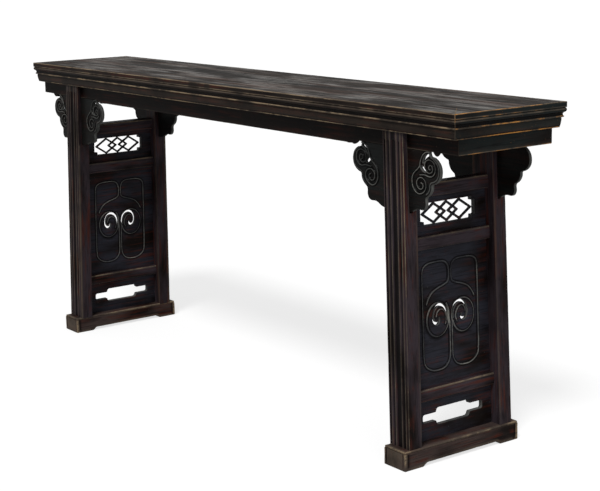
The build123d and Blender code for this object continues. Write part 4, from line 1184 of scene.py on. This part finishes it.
def new_wood(name, paint):
    """Material of old wood; paint gives its colour, roughness, grain relief, and its strength.

    Roughness and relief are each a base, then values to add, each with its weight.
    """
    material = bpy.data.materials.new(name)
    material.use_nodes = True
    tree = material.node_tree
    colour, *sums, strength, depth_mm = paint(tree)
    for index, (total, *parts) in enumerate(sums):
        for value, weight in parts:
            inputs = {0: value, 1: weight, 2: total}
            total = add_node(tree, "ShaderNodeMath", inputs, operation="MULTIPLY_ADD")
        sums[index] = total
    rough, height = sums
    inputs = {"Height": height, "Strength": strength, "Distance": depth_mm * MM}
    shader = tree.nodes["Principled BSDF"].inputs
    tree.links.new(colour, shader["Base Color"])
    tree.links.new(rough, shader["Roughness"])
    tree.links.new(add_node(tree, "ShaderNodeBump", inputs), shader["Normal"])
    shader["IOR"].default_value = WOOD_IOR
    shader["Specular IOR Level"].default_value = WAX_SPECULAR
    return material


def old_lacquer(tree, axis, seed, red_share, bloom, bloom_share, polish_and_highlight, bare, gloss):
    """Old lacquer on hardwood: nearly black and softly glossy, with wood showing in streaks.

    Thin lacquer shows the reddish wood along the grain, a dusty bloom greys the broad faces,
    hollows stay black with pooled lacquer and painted shade, beads are polished and painted lighter
    as highlights, and arrises are rubbed to bare wood.
    """
    tones = bpy.context.scene.altar_colours
    bloom, polish_and_highlight, bare = (opaque(getattr(tones, key)) for key in (bloom, polish_and_highlight, bare))
    lacquer, pooled_and_shade, red = (opaque(getattr(tones, key)) for key in ("lacquer", "pooled_and_shade", "red"))
    grain = bpy.context.scene.altar_sizes.grain / MM
    fine = grain_pattern(tree, axis, grain, 35 * grain, seed, 3.0)
    streak = grain_pattern(tree, axis, 9.0, 260.0, seed + 5, 4.0, 0.65)
    cloud = grain_pattern(tree, axis, 60.0, 190.0, seed + 11, 3.0)
    place = add_node(tree, "ShaderNodeTexCoord", output="Object")
    spots = {"Vector": place, "Scale": PATCHES, "Detail": 5.0, "Roughness": 0.65}
    patch = add_node(tree, "ShaderNodeTexNoise", spots, "Fac")
    spots = {"Vector": place, "Scale": FLECKS, "Detail": 2.0}
    fleck = add_node(tree, "ShaderNodeTexNoise", spots, "Fac")
    wear_and_painted_light = add_node(tree, "ShaderNodeAttribute", output="Fac", attribute_name="wear_and_painted_light")
    ragged = masked(tree, [(patch, 0.30, 0.58), (fine, 0.28, 0.5)], wear_and_painted_light)
    worn = masked(tree, [(ragged, 0.36, 0.66)])
    colour = layer(tree, lacquer, bloom, [(cloud, 0.34, 0.58)], bloom_share)
    colour = layer(tree, colour, red, [(streak, 0.48, 0.62), (patch, 0.42, 0.58)], red_share)
    colour = layer(tree, colour, pooled_and_shade, [(fine, 0.47, 0.36)], 0.55)
    # Polish with painted highlights on beads, crests, arrises and carved edges.
    colour = layer(tree, colour, polish_and_highlight, [(wear_and_painted_light, 0.06, 0.32), (patch, 0.28, 0.56)], 0.75)
    colour = layer(tree, colour, bare, cover=worn)
    # Pooled lacquer with painted shade in grooves, coves and hollows.
    colour = layer(tree, colour, pooled_and_shade, [(wear_and_painted_light, -0.05, -0.6)], 0.85)
    colour = layer(tree, colour, bare, [(fleck, 0.72, 0.78)], 0.3)
    rough = (gloss - 0.08, (fine, 0.16), (worn, 0.2))
    height = (0.0, (fine, 0.6), (streak, 0.8), (fleck, 0.15))
    return colour, rough, height, 0.35, 0.6


def weathered_top(tree):
    """Bare worn hardwood boards: greyish brown, with dark open grain lines along the length. The
    base colour and the pale patches are lighter to paint the grazing sheen of the boards as well as
    their greyed wood.
    """
    tones = bpy.context.scene.altar_colours
    keys = ("top", "top_grey_and_sheen", "top_red", "top_dark", "worn")
    top, light, red, dark, worn = (opaque(getattr(tones, key)) for key in keys)
    fine = grain_pattern(tree, "X", 3.4, 170.0, 3.0, 4.0, 0.65)
    streak = grain_pattern(tree, "X", 14.0, 240.0, 8.0, 6.0, 0.7)
    patch = grain_pattern(tree, "X", 75.0, 280.0, 2.0, 4.0, 0.55)
    ruddy = grain_pattern(tree, "X", 24.0, 500.0, 13.0, 4.0, 0.6)
    wear_and_painted_light = add_node(tree, "ShaderNodeAttribute", output="Fac", attribute_name="wear_and_painted_light")
    edge = masked(tree, [(streak, 0.36, 0.54)], wear_and_painted_light)
    colour = layer(tree, dark, top, [(streak, 0.42, 0.56)])
    # pale patches: painted sheen as well as greyed wood
    colour = layer(tree, colour, light, [(patch, 0.42, 0.56), (streak, 0.44, 0.54)], 0.8)
    colour = layer(tree, colour, red, [(ruddy, 0.50, 0.60)], 0.35)
    colour = layer(tree, colour, dark, [(fine, 0.51, 0.42)], 0.85)
    colour = layer(tree, colour, worn, [(edge, 0.1, 0.8)])
    rough = (0.42, (streak, 0.25))
    height = (0.0, (fine, 1.0), (streak, 0.8))
    return colour, rough, height, 0.6, 0.9


# grain axis, seed, share of red wood, bloom and its share, polish and painted highlight, bare wood,
# roughness
LACQUERS = {
    "moulded_edge_lacquer": ("X", 1.0, 0.6, "olive", 0.5, "polish_and_highlight", "worn", 0.40),
    "end_edge_lacquer": ("Y", 2.0, 0.3, "teal", 0.9, "polish_and_highlight", "amber", 0.38),
    "apron_old_lacquer": ("X", 3.0, 0.3, "pooled_and_shade", 0.7, "olive", "polish_and_highlight", 0.45),
    "end_apron_lacquer": ("Y", 4.0, 0.1, "teal", 0.8, "polish_and_highlight", "amber", 0.40),
    "leg_old_lacquer": ("Z", 5.0, 0.7, "violet", 0.8, "polish_and_highlight", "worn", 0.42),
    "spandrel_lacquer": ("X", 6.0, 0.2, "teal", 0.5, "steel", "grey", 0.38),
    "rail_old_lacquer": ("Y", 7.0, 0.7, "violet", 0.9, "polish_and_highlight", "worn", 0.38),
    "panel_old_lacquer": ("Y", 8.0, 0.6, "blue", 0.9, "steel", "grey", 0.36),
    "foot_old_lacquer": ("Y", 9.0, 0.9, "foot", 0.6, "polish_and_highlight", "worn", 0.50),
    "old_softwood": ("Y", 10.0, 0.3, "olive", 0.8, "olive", "worn", 0.60),
}
TOP_FINISH = "weathered_hardwood_top"


def finish(name):
    """The named finish, made the first time that a piece asks for it."""
    if name in bpy.data.materials:
        return bpy.data.materials[name]
    if name == TOP_FINISH:
        return new_wood(name, weathered_top)
    return new_wood(name, lambda tree: old_lacquer(tree, *LACQUERS[name]))


# ---- operators ----

# sides of the table: name, direction, placing, length, apron's inset, finishes of edge and apron
SIDES = (
    ("front", -1, long_side, HALF_LENGTH, APRON_INSET, "moulded_edge_lacquer", "apron_old_lacquer"),
    ("back", 1, long_side, HALF_LENGTH, APRON_INSET, "moulded_edge_lacquer", "apron_old_lacquer"),
    ("right", 1, end_side, HALF_DEPTH, END_APRON_INSET, "end_edge_lacquer", "end_apron_lacquer"),
    ("left", -1, end_side, HALF_DEPTH, END_APRON_INSET, "end_edge_lacquer", "end_apron_lacquer"),
)
RIGHT, LEFT = (1, 1, 1), (-1, 1, 1)
CORNERS = (
    ("front_right", RIGHT),
    ("front_left", LEFT),
    ("back_right", (1, -1, 1)),
    ("back_left", (-1, -1, 1)),
)


class ALTAR_OT_top(bpy.types.Operator):
    """Make the moulded frame of the top and its floating board"""

    bl_idname = "altar.top"
    bl_label = "Top"

    def execute(self, context):
        for name, side, place, half, _, paint, _ in SIDES:
            shape = moulded_run(frame_section(), place, side, 2 * half)
            node = f"top_frame_{name}"
            piece = finish_piece(node, "board", shape, paint, side)
            weather_top_face(piece.data)
        finish_piece("top_panel", "board", top_board(), TOP_FINISH)
        for index in range(1, 6):
            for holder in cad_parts[f"top_batten_{index}"].material_slots:
                holder.material = finish("old_softwood")
        return {"FINISHED"}


def weather_top_face(mesh):
    """Gives the upper face of a frame member the weathered finish of the top."""
    mesh.materials.append(finish(TOP_FINISH))
    for polygon in mesh.polygons:
        if polygon.normal.z > 0.8 and polygon.center.z > (TABLE_HEIGHT - 1.5) * MM:
            polygon.material_index = 1


class ALTAR_OT_edge_strips(bpy.types.Operator):
    """Make the strips under the edge of the top"""

    bl_idname = "altar.edge_strips"
    bl_label = "Edge strips"

    def execute(self, context):
        for name, side, place, half, inset, paint, _ in SIDES:
            shape = moulded_run(strip_section(inset), place, side, 2 * half)
            finish_piece(f"edge_strip_{name}", "board", shape, paint, side)
        return {"FINISHED"}


class ALTAR_OT_aprons(bpy.types.Operator):
    """Make the four aprons"""

    bl_idname = "altar.aprons"
    bl_label = "Aprons"

    def execute(self, context):
        for name, side, place, _, _, _, paint in SIDES:
            shape = long_apron(side) if place is long_side else end_apron(side)
            finish_piece(f"apron_{name}", "board", shape, paint, side)
        return {"FINISHED"}


class ALTAR_OT_spandrels(bpy.types.Operator):
    """Carve the four cloud spandrels"""

    bl_idname = "altar.spandrels"
    bl_label = "Cloud spandrels"

    def execute(self, context):
        sizes = context.scene.altar_sizes
        carved = {"front": spandrel(sizes, pierced=True), "back": spandrel(sizes, pierced=False)}
        paint = "spandrel_lacquer"
        for index, (corner, turn) in enumerate(CORNERS):
            shape = carved[corner.split("_")[0]]
            node = f"spandrel_{corner}"
            finish_piece(node, "board", shape, paint, index * 13.0, turn)
        return {"FINISHED"}


class ALTAR_OT_legs(bpy.types.Operator):
    """Make the four reeded legs"""

    bl_idname = "altar.legs"
    bl_label = "Legs"

    def execute(self, context):
        shape = reeded_leg(context.scene.altar_sizes.reed_depth / MM)
        paint = "leg_old_lacquer"
        for index, (corner, turn) in enumerate(CORNERS):
            finish_piece(f"leg_{corner}", "post", shape, paint, index * 17.0, turn)
        return {"FINISHED"}


class ALTAR_OT_end_frames(bpy.types.Operator):
    """Make the rails, panels and feet of both end frames"""

    bl_idname = "altar.end_frames"
    bl_label = "End frames"

    def execute(self, context):
        rows = (
            ("top_rail", "bar", rail(TOP_RAIL), "rail"),
            ("middle_rail", "bar", rail(MIDDLE_RAIL), "rail"),
            ("lower_rail", "bar", rail(LOWER_RAIL), "rail"),
            ("lattice_panel", "board", lattice_panel(), "panel"),
            ("carved_panel", "board", carved_panel(context.scene.altar_sizes), "panel"),
            ("slotted_panel", "board", slotted_panel(), "panel"),
            ("shoe_foot", "block", shoe_foot(), "foot"),
        )
        for index, (row, form, shape, kind) in enumerate(rows):
            paint, slot = f"{kind}_old_lacquer", f"{kind}_lacquer"
            for side, turn in (("right", RIGHT), ("left", LEFT)):
                seed = index * 11.0 + turn[0]
                finish_piece(f"{row}_{side}", form, shape, paint, seed, turn)
        return {"FINISHED"}


class ALTAR_OT_stage(bpy.types.Operator):
    """Set the pale floor, the lamps, the world and the camera"""

    bl_idname = "altar.stage"
    bl_label = "Stage"

    def execute(self, context):
        mesh = bpy.data.meshes.new("pale_floor")
        reach = FLOOR_REACH
        corners = [(-reach, -reach, 0), (reach, -reach, 0), (reach, reach, 0), (-reach, reach, 0)]
        mesh.from_pydata(corners, [], [(0, 1, 2, 3)])
        mesh.materials.append(floor_paper(context.scene.altar_colours))
        floor = bpy.data.objects.new("pale_floor", mesh)
        context.scene.collection.objects.link(floor)
        white_room(context.scene)
        sun = {"angle": KEY_WIDTH, "energy": KEY_POWER}
        add_lamp("high_soft_light", "SUN", KEY_FROM, (0, 0, 0), **sun)
        box = {"shape": "SQUARE", "size": SOFTBOX_SIZE, "energy": SOFTBOX_POWER}
        add_lamp("right_softbox", "AREA", SOFTBOX_PLACE, SOFTBOX_AIM, **box)
        aim_camera(context.scene)
        context.scene.view_settings.view_transform = "Standard"
        return {"FINISHED"}


def seen_directly(tree):
    """1 for rays from the camera, and a small share for those off gloss or through glass."""
    path = add_node(tree, "ShaderNodeLightPath").node.outputs
    gloss = {0: path["Is Glossy Ray"], 1: path["Is Transmission Ray"]}
    gloss = add_node(tree, "ShaderNodeMath", gloss, operation="MAXIMUM")
    gloss = add_node(tree, "ShaderNodeMath", {0: gloss, 1: GLOSS_SHARE}, operation="MULTIPLY")
    inputs = {0: path["Is Camera Ray"], 1: gloss}
    return add_node(tree, "ShaderNodeMath", inputs, operation="MAXIMUM")


def floor_paper(tones):
    """Seamless white paper: matt, and bright enough to look white outside the table's shadow."""
    material = bpy.data.materials.new("seamless_paper")
    material.use_nodes = True
    tree = material.node_tree
    shader = tree.nodes["Principled BSDF"]
    shader.inputs["Base Color"].default_value = opaque(tones.floor)
    shader.inputs["Roughness"].default_value = 0.95
    shader.inputs["Specular IOR Level"].default_value = 0.0
    inputs = {0: seen_directly(tree), 1: FLOOR_GLOW}
    strength = add_node(tree, "ShaderNodeMath", inputs, operation="MULTIPLY")
    glow = add_node(tree, "ShaderNodeEmission", {"Color": (1, 1, 1, 1), "Strength": strength})
    both = add_node(tree, "ShaderNodeAddShader", {0: shader.outputs[0], 1: glow})
    tree.links.new(both, tree.nodes["Material Output"].inputs["Surface"])
    return material


def white_room(scene):
    """World that looks white and gives a low, even fill light."""
    world = bpy.data.worlds.new("white_room")
    scene.world = world
    world.use_nodes = True
    tree = world.node_tree
    background = tree.nodes["Background"]
    background.inputs["Color"].default_value = (1, 1, 1, 1)
    inputs = {0: seen_directly(tree), 1: ROOM_GLOW, 2: ROOM_FILL}
    strength = add_node(tree, "ShaderNodeMath", inputs, operation="MULTIPLY_ADD")
    tree.links.new(strength, background.inputs["Strength"])


def add_lamp(name, kind, place, aim, **settings):
    """Hangs a soft lamp at a place in metres, turned towards another."""
    lamp = bpy.data.lights.new(name, kind)
    for key, value in settings.items():
        setattr(lamp, key, value)
    holder = bpy.data.objects.new(name, lamp)
    holder.location = place
    holder.rotation_euler = (Vector(aim) - Vector(place)).to_track_quat("-Z", "Y").to_euler()
    bpy.context.scene.collection.objects.link(holder)


def aim_camera(scene):
    """Camera low at the right front, looking along the table."""
    ahead = Vector((-math.sin(CAMERA_YAW), math.cos(CAMERA_YAW), 0)) * math.cos(CAMERA_PITCH)
    ahead.z = math.sin(CAMERA_PITCH)
    level = Vector((math.cos(CAMERA_YAW), math.sin(CAMERA_YAW), 0))
    over = level.cross(ahead)
    right = math.cos(CAMERA_ROLL) * level + math.sin(CAMERA_ROLL) * over
    up = -math.sin(CAMERA_ROLL) * level + math.cos(CAMERA_ROLL) * over
    lens = bpy.data.cameras.new("camera")
    lens.lens = CAMERA_LENS
    lens.sensor_width = 36.0
    camera = bpy.data.objects.new("camera", lens)
    place = Vector(CAMERA_PLACE) * MM
    axes = Matrix(((*right, 0), (*up, 0), (*-ahead, 0), (*place, 1)))
    camera.matrix_world = axes.transposed()
    scene.collection.objects.link(camera)
    scene.camera = camera


STEPS = (
    ALTAR_OT_top,
    ALTAR_OT_edge_strips,
    ALTAR_OT_aprons,
    ALTAR_OT_spandrels,
    ALTAR_OT_legs,
    ALTAR_OT_end_frames,
    ALTAR_OT_stage,
)


class ALTAR_PT_panel(bpy.types.Panel):
    """Buttons and settings of the altar table"""

    bl_idname = "ALTAR_PT_panel"
    bl_label = "Altar table"
    bl_space_type = "VIEW_3D"
    bl_region_type = "UI"
    bl_category = "Altar table"

    def draw(self, context):
        for group in (context.scene.altar_sizes, context.scene.altar_colours):
            for name in group.bl_rna.properties.keys():
                if name not in ("rna_type", "name"):
                    self.layout.prop(group, name)
        for step in STEPS:
            self.layout.operator(step.bl_idname)


CLASSES = (AltarSizes, AltarColours, *STEPS, ALTAR_PT_panel)


def register():
    """Register the classes and the settings of the scene."""
    for item in CLASSES:
        bpy.utils.register_class(item)
    bpy.types.Scene.altar_sizes = PointerProperty(type=AltarSizes)
    bpy.types.Scene.altar_colours = PointerProperty(type=AltarColours)


def unregister():
    """Remove the settings and the classes."""
    del bpy.types.Scene.altar_colours
    del bpy.types.Scene.altar_sizes
    for item in reversed(CLASSES):
        bpy.utils.unregister_class(item)


def main():
    """Make the whole table."""
    register()
    for step in STEPS:
        group, action = step.bl_idname.split(".")
        getattr(getattr(bpy.ops, group), action)()


if __name__ == "__main__":
    main()
